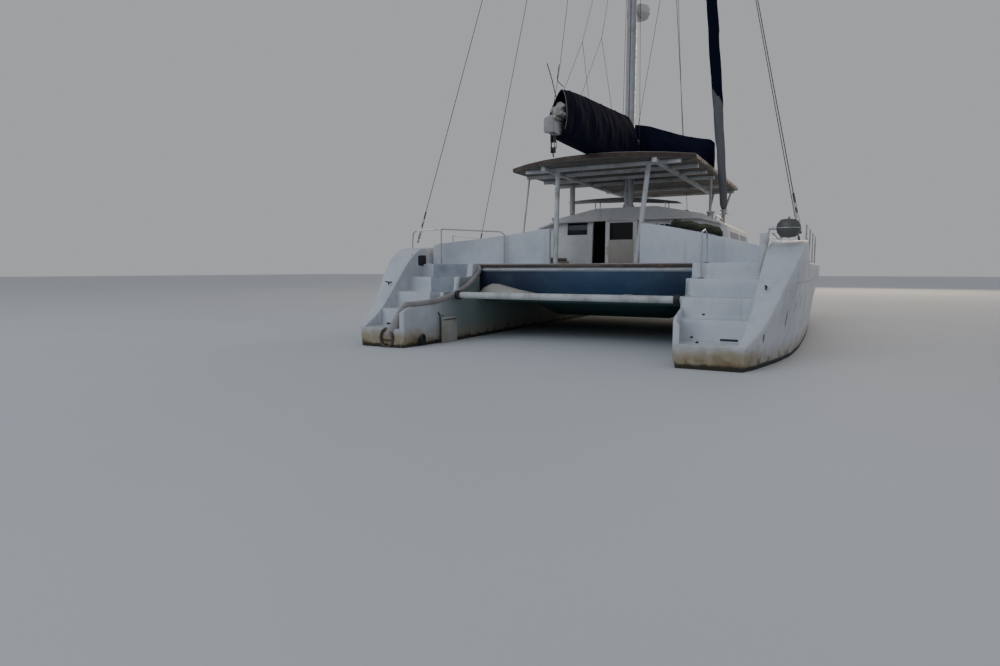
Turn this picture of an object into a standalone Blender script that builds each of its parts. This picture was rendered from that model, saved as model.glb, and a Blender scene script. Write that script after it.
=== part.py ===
"""Sailing catamaran, about 12 m long, as an assembly of separate pieces.

Metres. +Y runs to the bow, +X to starboard, +Z up. The origin is on the
centreline, amidships, at the waterline. Run with Blender 4.5:
blender --background --python part.py
"""
import math

import bmesh
import bpy
from mathutils import Matrix, Vector

# Running gap that pieces which touch keep between them.
GAP = 0.0003
# Lift of an upright tube's foot where the deck slopes under it.
SLOPE_LIFT = 0.0014
# Clearance of a piece that swings or slides past another.
RUN = 0.008

# Hulls.
LENGTH = 12.0
HULL_CENTRE = 2.48
HULL_INNER = 0.57
SHEER_STRAKE = 1.02
BILGE_FLAT = 0.15
CANOE_DRAFT = 0.50
DECK_Z = 1.30
TOPSIDE_BREAK = 0.50
# Hull stations: distance forward of the stern, half beam on the water, half
# beam at the deck, canoe draft, height of the sheer, half beam on the inboard
# side. The sheer rises to a hump over the quarter.
HULL_STATIONS = (
    (0.12, 0.42, 0.46, 0.10, 0.30, 0.42),
    (0.50, 0.54, 0.60, 0.18, 0.50, 0.48),
    (0.85, 0.62, 0.71, 0.24, 0.78, 0.52),
    (1.27, 0.71, 0.85, 0.31, 1.18, 0.55),
    (1.60, 0.76, 0.94, 0.37, 1.44, HULL_INNER),
    (1.95, 0.81, 0.97, 0.43, 1.59, HULL_INNER),
    (2.40, 0.84, 0.97, 0.47, 1.62, HULL_INNER),
    (2.80, 0.86, 0.97, 0.50, 1.52, HULL_INNER),
    (3.10, 0.87, 0.97, 0.50, DECK_Z, HULL_INNER),
    (4.60, 0.88, 0.97, 0.50, DECK_Z, HULL_INNER),
    (6.40, 0.86, 0.97, 0.50, DECK_Z, HULL_INNER),
    (8.00, 0.78, 0.97, 0.50, DECK_Z, HULL_INNER),
    (8.92, 0.68, 0.97, 0.47, DECK_Z, HULL_INNER),
    (9.80, 0.54, 0.86, 0.43, 1.34, 0.55),
    (10.80, 0.34, 0.62, 0.36, 1.41, 0.46),
    (11.50, 0.16, 0.36, 0.27, 1.46, 0.30),
    (11.90, 0.05, 0.16, 0.16, 1.49, 0.14),
    (12.00, 0.02, 0.08, 0.08, 1.50, 0.08),
)
INNER_WATER_SHARE = 0.92
# Scoop steps: where each tread ends, forward of the stern, and its height.
SCOOP_STEPS = ((0.60, 0.28), (1.05, 0.55), (1.50, 0.82), (1.95, 1.07), (3.10, DECK_Z))
# The low wall inboard of the lower steps: its top, its thickness and how far
# each metre towards the stern narrows the steps.
SCOOP_WALL_TOP, SCOOP_WALL, SCOOP_WALL_TAPER = 0.62, 0.07, 0.14
BULWARK_X_AT_STERN = 2.82
BULWARK_X_PER_M = 0.085

# Engines, in wells under the aft decks.
ENGINE_WELL = (0.62, 0.95, 0.95)
ENGINE_AT = 3.75
ENGINE_SIZE = (0.46, 0.70, 0.56)
HATCH_THICK, HATCH_LIP = 0.035, 0.03

# Underwater gear.
KEEL_LENGTH, KEEL_DEPTH, KEEL_THICK, KEEL_AT = 2.30, 0.62, 0.24, 6.10
RUDDER_AT, RUDDER_CHORD, RUDDER_DEPTH, RUDDER_THICK = 1.15, 0.42, 0.72, 0.06
RUDDER_STOCK_R = 0.024
DRIVE_AT, DRIVE_DEPTH = 2.75, 0.42
PROP_RADIUS, PROP_BLADES, PROP_SHAFT_R = 0.20, 3, 0.014

# Bridgedeck between the hulls.
BRIDGE_AFT, BRIDGE_FORE = 2.20, 8.90
BRIDGE_UNDER, BRIDGE_NOSE_Z = 0.62, 1.02
WELL_WALL = 0.55
COCKPIT_HALF = SALOON_HALF = HULL_CENTRE - HULL_INNER - WELL_WALL
COCKPIT_AFT, COCKPIT_FORE, COCKPIT_SOLE = 3.06, 4.72, 0.92
SALOON_AFT, SALOON_FORE, SALOON_FLOOR = 4.86, 7.70, 0.74
NACELLE_HALF, NACELLE_AFT, NACELLE_FORE, NACELLE_Z = 1.70, 2.90, 8.20, 0.30
NACELLE_FLAT_SHARE = 0.66
TRENCH_HALF, TRENCH_FLOOR = 0.50, 0.46
STERN_TUBE_R, STERN_TUBE_AT, STERN_TUBE_Z = 0.055, 1.35, 0.77
# The round grill on its arm at the starboard quarter: its centre, its radius.
GRILL_AT, GRILL_R = (3.22, 1.68, 1.76), 0.155

# Cabin, a hollow shell on the deck.
CABIN_AFT, CABIN_FORE, CABIN_HALF, CABIN_TOP_HALF = COCKPIT_FORE, 8.75, 2.08, 1.97
CABIN_EAVE, CABIN_CROWN, CABIN_TOP_FORE, CABIN_WALL = 2.02, 2.45, 7.95, 0.06
CABIN_TOP_AFT = 4.76
# The domed coachroof above the eave: height, half width, forward end, nose.
COACHROOF = ((2.27, 1.50, 7.50, 0.95), (CABIN_CROWN, 0.62, 7.15, 0.40))
# Doorway and windows in the aft bulkhead: left, right, sill, head.
DOORWAY = (-0.68, -0.08, COCKPIT_SOLE + 0.10, 2.20)
AFT_WINDOWS = ((-1.24, -0.80, 1.92, 2.17), (0.62, 1.42, 1.62, 2.10))
# Side windows: aft end, fore end, sill, head.
SIDE_WINDOWS = ((4.95, 6.15, 1.56, 1.92), (6.30, 7.40, 1.56, 1.92))
FRONT_WINDOWS = ((-1.08, -0.06, 1.54, 1.92), (0.06, 1.08, 1.54, 1.92))
DOOR_THICK, DOOR_FRAME, DOOR_KICK, DOOR_LAP = 0.035, 0.09, 0.40, 0.03
DOOR_OPEN_NOW = 0.33

# Cockpit.
# Coamings, from the walkway out to the quarter: distance from the centreline,
# aft face forward of the stern, height of the top.
COAMING_PORT = ((0.84, 2.88, 2.05), (1.50, 2.80, 1.93), (2.34, 2.58, 1.83), (2.94, 2.22, 1.70))
COAMING_STARBOARD = ((0.84, 2.88, 2.00), (1.50, 2.80, 1.88), (2.34, 2.50, 1.68), (2.94, 2.22, 1.52))
COAMING_THICK = 0.11
LOCKER_X, LOCKER_FORE = (2.50, 2.92), 3.12
SEAT_TOP, SEAT_WIDTH, SEAT_FORE = 1.36, 0.52, 3.90
HELM_X, HELM_AT, WHEEL_Z, WHEEL_R, WHEEL_TUBE, WHEEL_SHAFT_R = 0.95, 4.12, 1.72, 0.34, 0.013, 0.016

# Hard roof over the cockpit and the cabin.
ROOF_HALF, ROOF_PORT_HALF, ROOF_AFT, ROOF_FORE, ROOF_UNDER, ROOF_THICK = 1.62, 1.86, 3.45, 8.45, 3.08, 0.09
ROOF_BOW, ROOF_NOTCH_HALF, ROOF_NOTCH_AT = 0.80, 1.22, 5.75
BEAM_DEEP, BEAM_WIDE = 0.075, 0.08

# Rig.
MAST_AT, MAST_FOOT, MAST_TOP = 5.00, CABIN_CROWN, 17.20
MAST_WIDE, MAST_LONG = 0.175, 0.235
SPREADERS = ((9.40, 1.24), (13.20, 1.00))
STAY_R, TANG_R, TANG_REACH = 0.007, 0.016, 0.17
BOOM_Z, BOOM_DEEP, BOOM_WIDE, BOOM_END = 3.21, 0.17, 0.13, 0.92
COVER_TOP_FORE, COVER_TOP_AFT, COVER_HALF = 4.22, 4.11, 0.21
ROLL_FOOT = (1.82, 5.32, 2.22)
ROLL_R = 0.080
SHROUD_AT, BACKSTAY_AT = 4.45, 2.30
BEAM_FORE_AT, BEAM_FORE_R, BEAM_FORE_Z = 11.20, 0.085, 1.22
GOOSENECK_ARM, GOOSENECK_HALF = 0.20, 0.03


def station(forward):
    """Y of a place given forward of the stern."""
    return forward - LENGTH / 2.0


def clear_scene():
    """Remove every object that the file starts with."""
    for obj in list(bpy.data.objects):
        bpy.data.objects.remove(obj, do_unlink=True)


def material(name, colour, rough, metal=0.0, alpha=1.0):
    """A Principled material with one colour."""
    mat = bpy.data.materials.new(name)
    mat.use_nodes = True
    shader = mat.node_tree.nodes["Principled BSDF"]
    shader.inputs["Base Color"].default_value = (*colour, 1.0)
    shader.inputs["Roughness"].default_value = rough
    shader.inputs["Metallic"].default_value = metal
    shader.inputs["Alpha"].default_value = alpha
    return mat


FINISHES = {
    "gelcoat": ((0.66, 0.68, 0.70), 0.45, 0.0),
    "antifoul": ((0.05, 0.06, 0.08), 0.8, 0.0),
    "canvas": ((0.02, 0.025, 0.07), 0.9, 0.0),
    "alloy": ((0.50, 0.51, 0.53), 0.35, 0.9),
    "steel": ((0.60, 0.60, 0.62), 0.25, 1.0),
    "paint": ((0.75, 0.75, 0.74), 0.5, 0.0),
    "tint": ((0.03, 0.03, 0.04), 0.1, 0.0),
    "net": ((0.1, 0.1, 0.11), 0.9, 0.0),
    "iron": ((0.25, 0.3, 0.3), 0.6, 0.5),
    "bronze": ((0.5, 0.35, 0.15), 0.4, 1.0),
}


def new_object(name, mesh, finish):
    """Link a mesh under a name with the finish of that name."""
    obj = bpy.data.objects.new(name, mesh)
    bpy.context.scene.collection.objects.link(obj)
    if finish:
        obj.data.materials.append(material(name, *FINISHES[finish]))
    return obj


def mesh_from(points, faces):
    """A mesh whose faces all point out."""
    mesh = bpy.data.meshes.new("shape")
    mesh.from_pydata([tuple(p) for p in points], [], faces)
    bm = bmesh.new()
    bm.from_mesh(mesh)
    bmesh.ops.recalc_face_normals(bm, faces=bm.faces)
    bm.to_mesh(mesh)
    bm.free()
    return mesh


def loft(rings):
    """Skin rings that all have the same count of points, with flat ends."""
    count = len(rings[0])
    points = [p for ring in rings for p in ring]
    faces = []
    for i in range(len(rings) - 1):
        for j in range(count):
            k = (j + 1) % count
            faces.append((i * count + j, i * count + k, (i + 1) * count + k, (i + 1) * count + j))
    faces.append(tuple(range(count)))
    faces.append(tuple(range((len(rings) - 1) * count, len(rings) * count)))
    return mesh_from(points, faces)


def prism(outline, low, high, axis):
    """Extrude a flat outline along X, Y or Z between two places."""
    def place(a, b, c):
        if axis == "X":
            return (c, a, b)
        if axis == "Y":
            return (a, c, b)
        return (a, b, c)
    return loft([[place(a, b, low) for a, b in outline], [place(a, b, high) for a, b in outline]])


def block(low, high):
    """A box between two corners."""
    outline = [(low[0], low[1]), (high[0], low[1]), (high[0], high[1]), (low[0], high[1])]
    return prism(outline, low[2], high[2], "Z")


def circle(radius, sides):
    """Points of a circle."""
    turns = [2 * math.pi * i / sides for i in range(sides)]
    return [(radius * math.cos(t), radius * math.sin(t)) for t in turns]


def frames_along(path):
    """The mitred cross axes at each point of a path."""
    points = [Vector(p) for p in path]
    tangents = []
    for i, point in enumerate(points):
        before = (point - points[i - 1]).normalized() if i > 0 else None
        after = (points[i + 1] - point).normalized() if i < len(points) - 1 else None
        tangents.append(((before or after) + (after or before)).normalized())
    guide = Vector((0, 0, 1)) if abs(tangents[0].z) < 0.9 else Vector((0, 1, 0))
    side = tangents[0].cross(guide).normalized()
    frames = []
    for i, point in enumerate(points):
        side = (side - tangents[i] * side.dot(tangents[i])).normalized()
        frames.append((point, side, tangents[i].cross(side)))
    return frames


def pipe(path, radius, sides=8):
    """A round bar along a path, with one radius or one for each point."""
    radii = radius if isinstance(radius, (list, tuple)) else [radius] * len(path)
    rings = []
    for (point, side, up), r in zip(frames_along(path), radii):
        rings.append([point + side * a + up * b for a, b in circle(r, sides)])
    return loft(rings)


def lathe(profile, sides, centre):
    """Turn a profile of (radius, height) about Z, then place it."""
    mesh = loft([[(x, y, z) for x, y in circle(r, sides)] for r, z in profile])
    mesh.transform(Matrix.Translation(centre))
    return mesh


def evaluated(obj):
    """A new mesh with the object's modifiers applied."""
    graph = bpy.context.evaluated_depsgraph_get()
    graph.update()
    return bpy.data.meshes.new_from_object(obj.evaluated_get(graph))


def combine(first, others, operation):
    """Union, difference or intersection of meshes, by the exact solver."""
    base = new_object("base", first, None)
    tools = []
    for mesh in others:
        tool = new_object("tool", mesh, None)
        tool.hide_render = True
        tool.display_type = "WIRE"
        mod = base.modifiers.new("cut", "BOOLEAN")
        mod.operation = operation
        mod.solver = "EXACT"
        mod.object = tool
        tools.append(tool)
    mesh = evaluated(base)
    for obj in [base] + tools:
        bpy.data.objects.remove(obj, do_unlink=True)
    mesh.materials.clear()
    return mesh


def fuse(meshes):
    """Join overlapping meshes into one closed body."""
    return combine(meshes[0], meshes[1:], "UNION")


def cut(mesh, cutters):
    """Take cutters away from a mesh."""
    return combine(mesh, cutters, "DIFFERENCE")


def mirrored(mesh):
    """The same mesh on the other side of the centreline."""
    copy = mesh.copy()
    copy.transform(Matrix.Scale(-1, 4, (1, 0, 0)))
    copy.flip_normals()
    return copy


def piece(name, mesh, finish, origin=(0, 0, 0), smooth=35.0):
    """A named node whose object origin sits at a given point."""
    mesh.transform(Matrix.Translation(-Vector(origin)))
    obj = new_object(name, mesh, finish)
    obj.location = origin
    mesh.shade_smooth()
    mesh.set_sharp_from_angle(angle=math.radians(smooth))
    return obj


def both_sides(stem, mesh, finish, origin=(0, 0, 0)):
    """A starboard piece and its mirror image to port."""
    other = mirrored(mesh)
    piece(stem + "_starboard", mesh, finish, origin)
    piece(stem + "_port", other, finish, (-origin[0], origin[1], origin[2]))


def between(table, key, column):
    """Straight interpolation of a table's column at a key in column 0."""
    for low, high in zip(table, table[1:]):
        if key <= high[0]:
            t = (key - low[0]) / (high[0] - low[0])
            return low[column] + (high[column] - low[column]) * max(t, 0.0)
    return table[-1][column]


def hull_ring(row):
    """One section of the starboard hull."""
    forward, water, deck, draft, sheer, inboard = row
    water_in = min(water, inboard * INNER_WATER_SHARE)
    strake = min(SHEER_STRAKE, sheer * 0.8)
    knuckle = min(TOPSIDE_BREAK, strake * 0.6)
    flat = min(BILGE_FLAT, water * 0.5)
    turn = []
    for i in range(1, 5):
        t = math.radians(90.0 * i / 5.0)
        turn.append((math.cos(t) ** 0.8, -draft * math.sin(t) ** 0.8))
    right = [(deck - 0.03, sheer), (deck, strake), ((deck + water) / 2 + 0.02, knuckle), (water, 0.0)]
    right += [(flat + (water - flat) * a, z) for a, z in turn] + [(flat, -draft)]
    flat_in = min(flat, water_in * 0.5)
    left = [(-flat_in, -draft)] + [(-flat_in - (water_in - flat_in) * a, z) for a, z in reversed(turn)]
    left += [(-water_in, 0.0), (-inboard, knuckle), (-inboard, max(sheer, SCOOP_WALL_TOP + 0.05))]
    return [(HULL_CENTRE + x, station(forward), z) for x, z in right + left]


def hull_side(forward, column):
    """A hull size at a place forward of the stern."""
    return between(HULL_STATIONS, forward, column)


def scoop_cutters():
    """The stair cut of the sugar scoop, and the cut over the low wall inboard of it."""
    top, behind = 2.2, -0.4
    stair = [(behind, SCOOP_STEPS[0][1])]
    over = [(behind, SCOOP_WALL_TOP)]
    for i, (end, height) in enumerate(SCOOP_STEPS):
        stair.append((end, height))
        over.append((end, max(height, SCOOP_WALL_TOP)))
        if i < len(SCOOP_STEPS) - 1:
            stair.append((end, SCOOP_STEPS[i + 1][1]))
            over.append((end, max(SCOOP_STEPS[i + 1][1], SCOOP_WALL_TOP)))
    stair += [(SCOOP_STEPS[-1][0], top), (behind, top)]
    over += [(SCOOP_STEPS[-1][0], top), (behind, top)]
    over = over[:1] + over[3:]
    wall_face = HULL_CENTRE - HULL_INNER + SCOOP_WALL
    inner = [(wall_face + SCOOP_WALL_TAPER * max(0.0, 1.0 - v), station(v), z) for v, z in stair]
    outer = [(BULWARK_X_AT_STERN + BULWARK_X_PER_M * v, station(v), z) for v, z in stair]
    past_inboard = prism([(station(v), z) for v, z in over], HULL_CENTRE - 1.5, HULL_CENTRE, "X")
    return [loft([inner, outer]), past_inboard]


def make_hulls():
    """Both hulls, with scoop, engine well and the bores for gear."""
    body = loft([hull_ring(row) for row in HULL_STATIONS])
    wide, long, deep = ENGINE_WELL
    well_top = 2.0
    well = block((HULL_CENTRE - wide / 2, station(ENGINE_AT) - long / 2, DECK_Z - deep),
                 (HULL_CENTRE + wide / 2, station(ENGINE_AT) + long / 2, well_top))
    stock = pipe([(HULL_CENTRE, station(RUDDER_AT), -0.6), (HULL_CENTRE, station(RUDDER_AT), 0.05)],
                 RUDDER_STOCK_R + GAP * 2, 16)
    beam_y = station(BEAM_FORE_AT)
    socket = pipe([(0.0, beam_y, BEAM_FORE_Z), (HULL_CENTRE, beam_y, BEAM_FORE_Z)],
                  BEAM_FORE_R + GAP * 2, 16)
    hull = cut(body, scoop_cutters() + [well, stock, socket])
    plates = [chainplate(SHROUD_AT, HULL_CENTRE + 0.80), chainplate(BACKSTAY_AT, HULL_CENTRE + 0.86)]
    both_sides("hull", fuse([hull] + plates), "gelcoat")


def chain_top(forward, x):
    """The top of a chainplate, where its stay lands."""
    return Vector((x, station(forward), hull_side(forward, 4) + 0.10))


def chainplate(forward, x):
    """A stub that stands out of the deck towards the masthead."""
    top = chain_top(forward, x)
    aim = (Vector((0, station(MAST_AT), MAST_TOP)) - top).normalized()
    return pipe([top - aim * 0.2, top], TANG_R, 8)


def make_keels():
    """A fin under each hull."""
    length, half = KEEL_LENGTH, KEEL_THICK / 2
    rings = []
    for z, scale, shift in ((-CANOE_DRAFT - GAP, 1.0, 0.0), (-CANOE_DRAFT - KEEL_DEPTH * 0.6, 0.92, -0.05),
                            (-CANOE_DRAFT - KEEL_DEPTH, 0.82, -0.10)):
        rings.append(foil(HULL_CENTRE, station(KEEL_AT) + shift, z, length * scale, half * scale))
    both_sides("keel", loft(rings), "antifoul")


def foil(x, y, z, length, half):
    """A level section of a fin: blunt ahead and fine astern."""
    shape = ((0.50, 0.0), (0.47, 0.55), (0.36, 0.9), (0.15, 1.0), (-0.2, 0.72), (-0.5, 0.08))
    right = [(x + half * b, y + length * a, z) for a, b in shape]
    left = [(x - half * b, y + length * a, z) for a, b in reversed(shape[1:])]
    return right + left


def make_rudders():
    """Spade rudders, each turning on its stock."""
    y = station(RUDDER_AT)
    top = -hull_side(RUDDER_AT + 0.3, 3) - 0.02
    bottom = top - RUDDER_DEPTH
    centre = y - RUDDER_CHORD * 0.22
    rings = [foil(HULL_CENTRE, centre, z, RUDDER_CHORD * s, RUDDER_THICK / 2 * s)
             for z, s in ((top, 1.0), (top - RUDDER_DEPTH * 0.7, 0.88), (bottom, 0.7))]
    stock = pipe([(HULL_CENTRE, y, top - 0.2), (HULL_CENTRE, y, 0.02)], RUDDER_STOCK_R, 16)
    both_sides("rudder", fuse([loft(rings), stock]), "antifoul", (HULL_CENTRE, y, top))


def make_drives():
    """A drive leg under each hull and the propeller astern of it."""
    y, low = station(DRIVE_AT), -CANOE_DRAFT - DRIVE_DEPTH
    top = -hull_side(DRIVE_AT - 0.1, 3) + 0.02
    leg = loft([foil(HULL_CENTRE, y, top, 0.30, 0.045), foil(HULL_CENTRE, y, low, 0.24, 0.04)])
    profile = ((0.012, 0.20), (0.045, 0.15), (0.055, 0.05), (0.05, -0.12), (0.03, -0.155))
    pod = pipe([(HULL_CENTRE, y + z, low) for r, z in profile], [r for r, z in profile], 12)
    shaft = pipe([(HULL_CENTRE, y - 0.12, low), (HULL_CENTRE, y - 0.26, low)], PROP_SHAFT_R, 16)
    body = loft([hull_ring(row) for row in HULL_STATIONS])
    slab = cut(leg, [body])
    slab.transform(Matrix.Translation((0, 0, -GAP)))
    both_sides("drive_leg", fuse([slab, pod, shaft]), "iron")
    hub_y = y - 0.205
    hub = pipe([(HULL_CENTRE, hub_y + 0.04, low), (HULL_CENTRE, hub_y - 0.04, low)], [0.036, 0.028], 14)
    blades = []
    for i in range(PROP_BLADES):
        blades.append(prop_blade(2 * math.pi * i / PROP_BLADES, hub_y, low))
    bore = pipe([(HULL_CENTRE, hub_y + 0.2, low), (HULL_CENTRE, hub_y - 0.2, low)],
                PROP_SHAFT_R + GAP * 2, 16)
    both_sides("propeller", cut(fuse([hub] + blades), [bore]), "bronze", (HULL_CENTRE, hub_y, low))


def prop_blade(angle, hub_y, low):
    """One twisted blade of the propeller."""
    rings = []
    for r, half, pitch in ((0.022, 0.030, 62.0), (0.09, 0.060, 42.0), (0.16, 0.055, 30.0),
                           (PROP_RADIUS, 0.015, 25.0)):
        c, s = math.cos(math.radians(pitch)), math.sin(math.radians(pitch))
        ring = []
        for a, b in ((half, 0.003), (-half, 0.003), (-half, -0.003), (half, -0.003)):
            ring.append(Vector((a * c - b * s, a * s + b * c, r)))
        rings.append(ring)
    mesh = loft(rings)
    mesh.transform(Matrix.Translation((HULL_CENTRE, hub_y, low)) @ Matrix.Rotation(angle, 4, "Y"))
    return mesh


def make_engines():
    """A plain block for each engine, and the lid on the deck over its well."""
    x, y = HULL_CENTRE, station(ENGINE_AT)
    wide, long, high = ENGINE_SIZE
    floor = DECK_Z - ENGINE_WELL[2]
    both_sides("engine", block((x - wide / 2, y - long / 2, floor + GAP),
                               (x + wide / 2, y + long / 2, floor + high)), "iron")
    half_x, half_y = ENGINE_WELL[0] / 2 + HATCH_LIP, ENGINE_WELL[1] / 2 + HATCH_LIP
    low = DECK_Z + GAP
    lid = block((x - half_x, y - half_y, low), (x + half_x, y + half_y, low + HATCH_THICK))
    both_sides("engine_hatch", lid, "gelcoat", (x, y + half_y, low))


def make_bridgedeck():
    """The deck between the hulls, with cockpit and saloon wells."""
    half = HULL_CENTRE - HULL_INNER - GAP
    outline = [(BRIDGE_AFT, BRIDGE_UNDER + 0.10), (BRIDGE_AFT + 0.25, BRIDGE_UNDER), (8.0, BRIDGE_UNDER),
               (BRIDGE_FORE, BRIDGE_NOSE_Z), (BRIDGE_FORE, DECK_Z), (BRIDGE_AFT, DECK_Z)]
    slab = prism([(station(v), z) for v, z in outline], -half, half, "X")
    pod_rings = []
    for v, low in ((NACELLE_AFT, BRIDGE_UNDER + 0.02), (NACELLE_AFT + 1.1, NACELLE_Z),
                   (NACELLE_FORE - 1.0, NACELLE_Z), (NACELLE_FORE, BRIDGE_UNDER + 0.06)):
        shoulder, inner = max(BRIDGE_UNDER - 0.05, low + 0.02), NACELLE_HALF * NACELLE_FLAT_SHARE
        pod_rings.append([(x, station(v), z) for x, z in
                          ((NACELLE_HALF, 0.80), (NACELLE_HALF, shoulder), (inner, low), (-inner, low),
                           (-NACELLE_HALF, shoulder), (-NACELLE_HALF, 0.80))])
    cockpit = block((-COCKPIT_HALF, station(COCKPIT_AFT), COCKPIT_SOLE),
                    (COCKPIT_HALF, station(COCKPIT_FORE), 3.0))
    saloon = block((-SALOON_HALF, station(SALOON_AFT), SALOON_FLOOR),
                   (SALOON_HALF, station(SALOON_FORE), 3.0))
    trench = block((-TRENCH_HALF + 0.08, station(SALOON_AFT + 0.1), TRENCH_FLOOR),
                   (TRENCH_HALF - 0.08, station(NACELLE_FORE - 1.1), 3.0))
    door_step = block((DOORWAY[0], station(COCKPIT_FORE - 0.1), DOORWAY[2]),
                      (DOORWAY[1], station(SALOON_AFT + 0.1), 3.0))
    piece("bridgedeck", cut(fuse([slab, loft(pod_rings)]), [cockpit, saloon, trench, door_step]), "gelcoat")


def cabin_rings(inset, drop):
    """Outer or inner form of the cabin, as level rings."""
    rows = [(DECK_Z + GAP - drop * 3, CABIN_HALF, CABIN_AFT, CABIN_FORE, 1.45),
            (CABIN_EAVE - drop, CABIN_TOP_HALF, CABIN_TOP_AFT, CABIN_TOP_FORE, 1.30)]
    for z, half, fore, nose in COACHROOF:
        rows.append((z - drop, half, CABIN_TOP_AFT + 0.03, fore, nose))
    rings = []
    for z, half, aft, fore, nose in rows:
        a, f = station(aft) + inset, station(fore) - inset
        h, n = half - inset, nose - inset
        shoulder = f - 0.50
        rings.append([(h, a, z), (h, shoulder, z), (n, f - 0.06, z), (n * 0.45, f, z), (-n * 0.45, f, z),
                      (-n, f - 0.06, z), (-h, shoulder, z), (-h, a, z)])
    return rings


def window_box(left, right, low, high, near, far, axis, grow=0.0):
    """A cutter through a wall, grown or shrunk all round."""
    outline = [(left - grow, low - grow), (right + grow, low - grow),
               (right + grow, high + grow), (left - grow, high + grow)]
    return prism(outline, near, far, axis)


def side_window(row, near, far, grow=0.0):
    """A cutter for a window in the cabin's side."""
    aft, fore, low, high = row
    return window_box(station(aft), station(fore), low, high, near, far, "X", grow)


def make_cabin():
    """The hollow cabin, its panes and its sliding door."""
    outer, inner = loft(cabin_rings(0.0, 0.0)), loft(cabin_rings(CABIN_WALL, CABIN_WALL))
    walls = cut(outer, [inner])
    aft_near, aft_far = station(CABIN_AFT) - 0.3, station(CABIN_AFT) + 0.3
    front_near, front_far = station(CABIN_TOP_FORE) - 0.35, station(CABIN_FORE) + 0.3
    openings = [window_box(*DOORWAY, aft_near, aft_far, "Y")]
    openings += [window_box(*row, aft_near, aft_far, "Y") for row in AFT_WINDOWS]
    openings += [window_box(*row, front_near, front_far, "Y") for row in FRONT_WINDOWS]
    for row in SIDE_WINDOWS:
        openings.append(side_window(row, 1.0, CABIN_HALF + 0.3))
        openings.append(side_window(row, -CABIN_HALF - 0.3, -1.0))
    piece("cabin", cut(walls, openings), "gelcoat")
    panes = []
    for i, row in enumerate(AFT_WINDOWS):
        panes.append(("pane_aft_" + "ab"[i], window_box(*row, aft_near, aft_far, "Y", -GAP)))
    for i, row in enumerate(FRONT_WINDOWS):
        panes.append(("pane_front_" + ("port", "starboard")[i],
                      window_box(*row, front_near, front_far, "Y", -GAP)))
    for i, row in enumerate(SIDE_WINDOWS):
        panes.append(("pane_starboard_" + "ab"[i], side_window(row, 1.0, CABIN_HALF + 0.3, -GAP)))
        panes.append(("pane_port_" + "ab"[i], side_window(row, -CABIN_HALF - 0.3, -1.0, -GAP)))
    for name, box in panes:
        piece(name, combine(walls.copy(), [box], "INTERSECT"), "tint")
    make_door()


def make_door():
    """The saloon door, a framed plate that slides along the sole across the doorway."""
    left = DOORWAY[0] + DOOR_OPEN_NOW - DOOR_LAP
    right = DOORWAY[1] + DOOR_OPEN_NOW + DOOR_LAP
    thick, frame, face = DOOR_THICK, DOOR_FRAME, station(CABIN_AFT) - RUN
    low, high = COCKPIT_SOLE + GAP, DOORWAY[3] + DOOR_LAP
    plate = block((left, face - thick, low), (right, face, high))
    window = block((left + frame, face - thick * 2, low + DOOR_KICK),
                   (right - frame, face + thick, high - frame))
    piece("saloon_door", cut(plate, [window]), "gelcoat", (left, face, low))
    glass = block((left + frame + GAP, face - thick * 0.7, low + DOOR_KICK + GAP),
                  (right - frame - GAP, face - thick * 0.3, high - frame - GAP))
    piece("door_pane", glass, "tint", (left, face, low))


def coaming(rows, side):
    """A curved panel across the aft deck, with the locker at its outboard end."""
    low = DECK_Z + GAP
    rings = []
    for x, v, top in rows:
        y = station(v)
        section = ((0.0, low), (COAMING_THICK, low), (COAMING_THICK, top), (0.03, top + 0.015), (0.0, top - 0.02))
        rings.append([(side * x, y + a, z) for a, z in section])
    near, far = LOCKER_X
    lid = between(rows, far, 2) - 0.06
    left, right = sorted((side * near, side * far))
    aft = station(between(rows, near, 1)) + 0.02
    return fuse([loft(rings), block((left, aft, low), (right, station(LOCKER_FORE), lid))])


def make_cockpit():
    """Coamings, seats, the helm and its wheel."""
    piece("coaming_starboard", coaming(COAMING_STARBOARD, 1), "gelcoat")
    piece("coaming_port", coaming(COAMING_PORT, -1), "gelcoat")
    seat_low = COCKPIT_SOLE + GAP
    inner = COCKPIT_HALF - SEAT_WIDTH
    side = block((inner, station(COCKPIT_AFT) + GAP, seat_low),
                 (COCKPIT_HALF - GAP, station(SEAT_FORE), SEAT_TOP))
    both_sides("cockpit_seat", side, "gelcoat")
    helm = block((HELM_X - 0.30, station(4.25), seat_low),
                 (COCKPIT_HALF - GAP, station(COCKPIT_FORE) - GAP, 1.92))
    shaft = pipe([(HELM_X, station(4.30), WHEEL_Z), (HELM_X, station(HELM_AT) - 0.06, WHEEL_Z)],
                 WHEEL_SHAFT_R, 16)
    piece("helm", fuse([helm, shaft]), "gelcoat")
    make_wheel()


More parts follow.
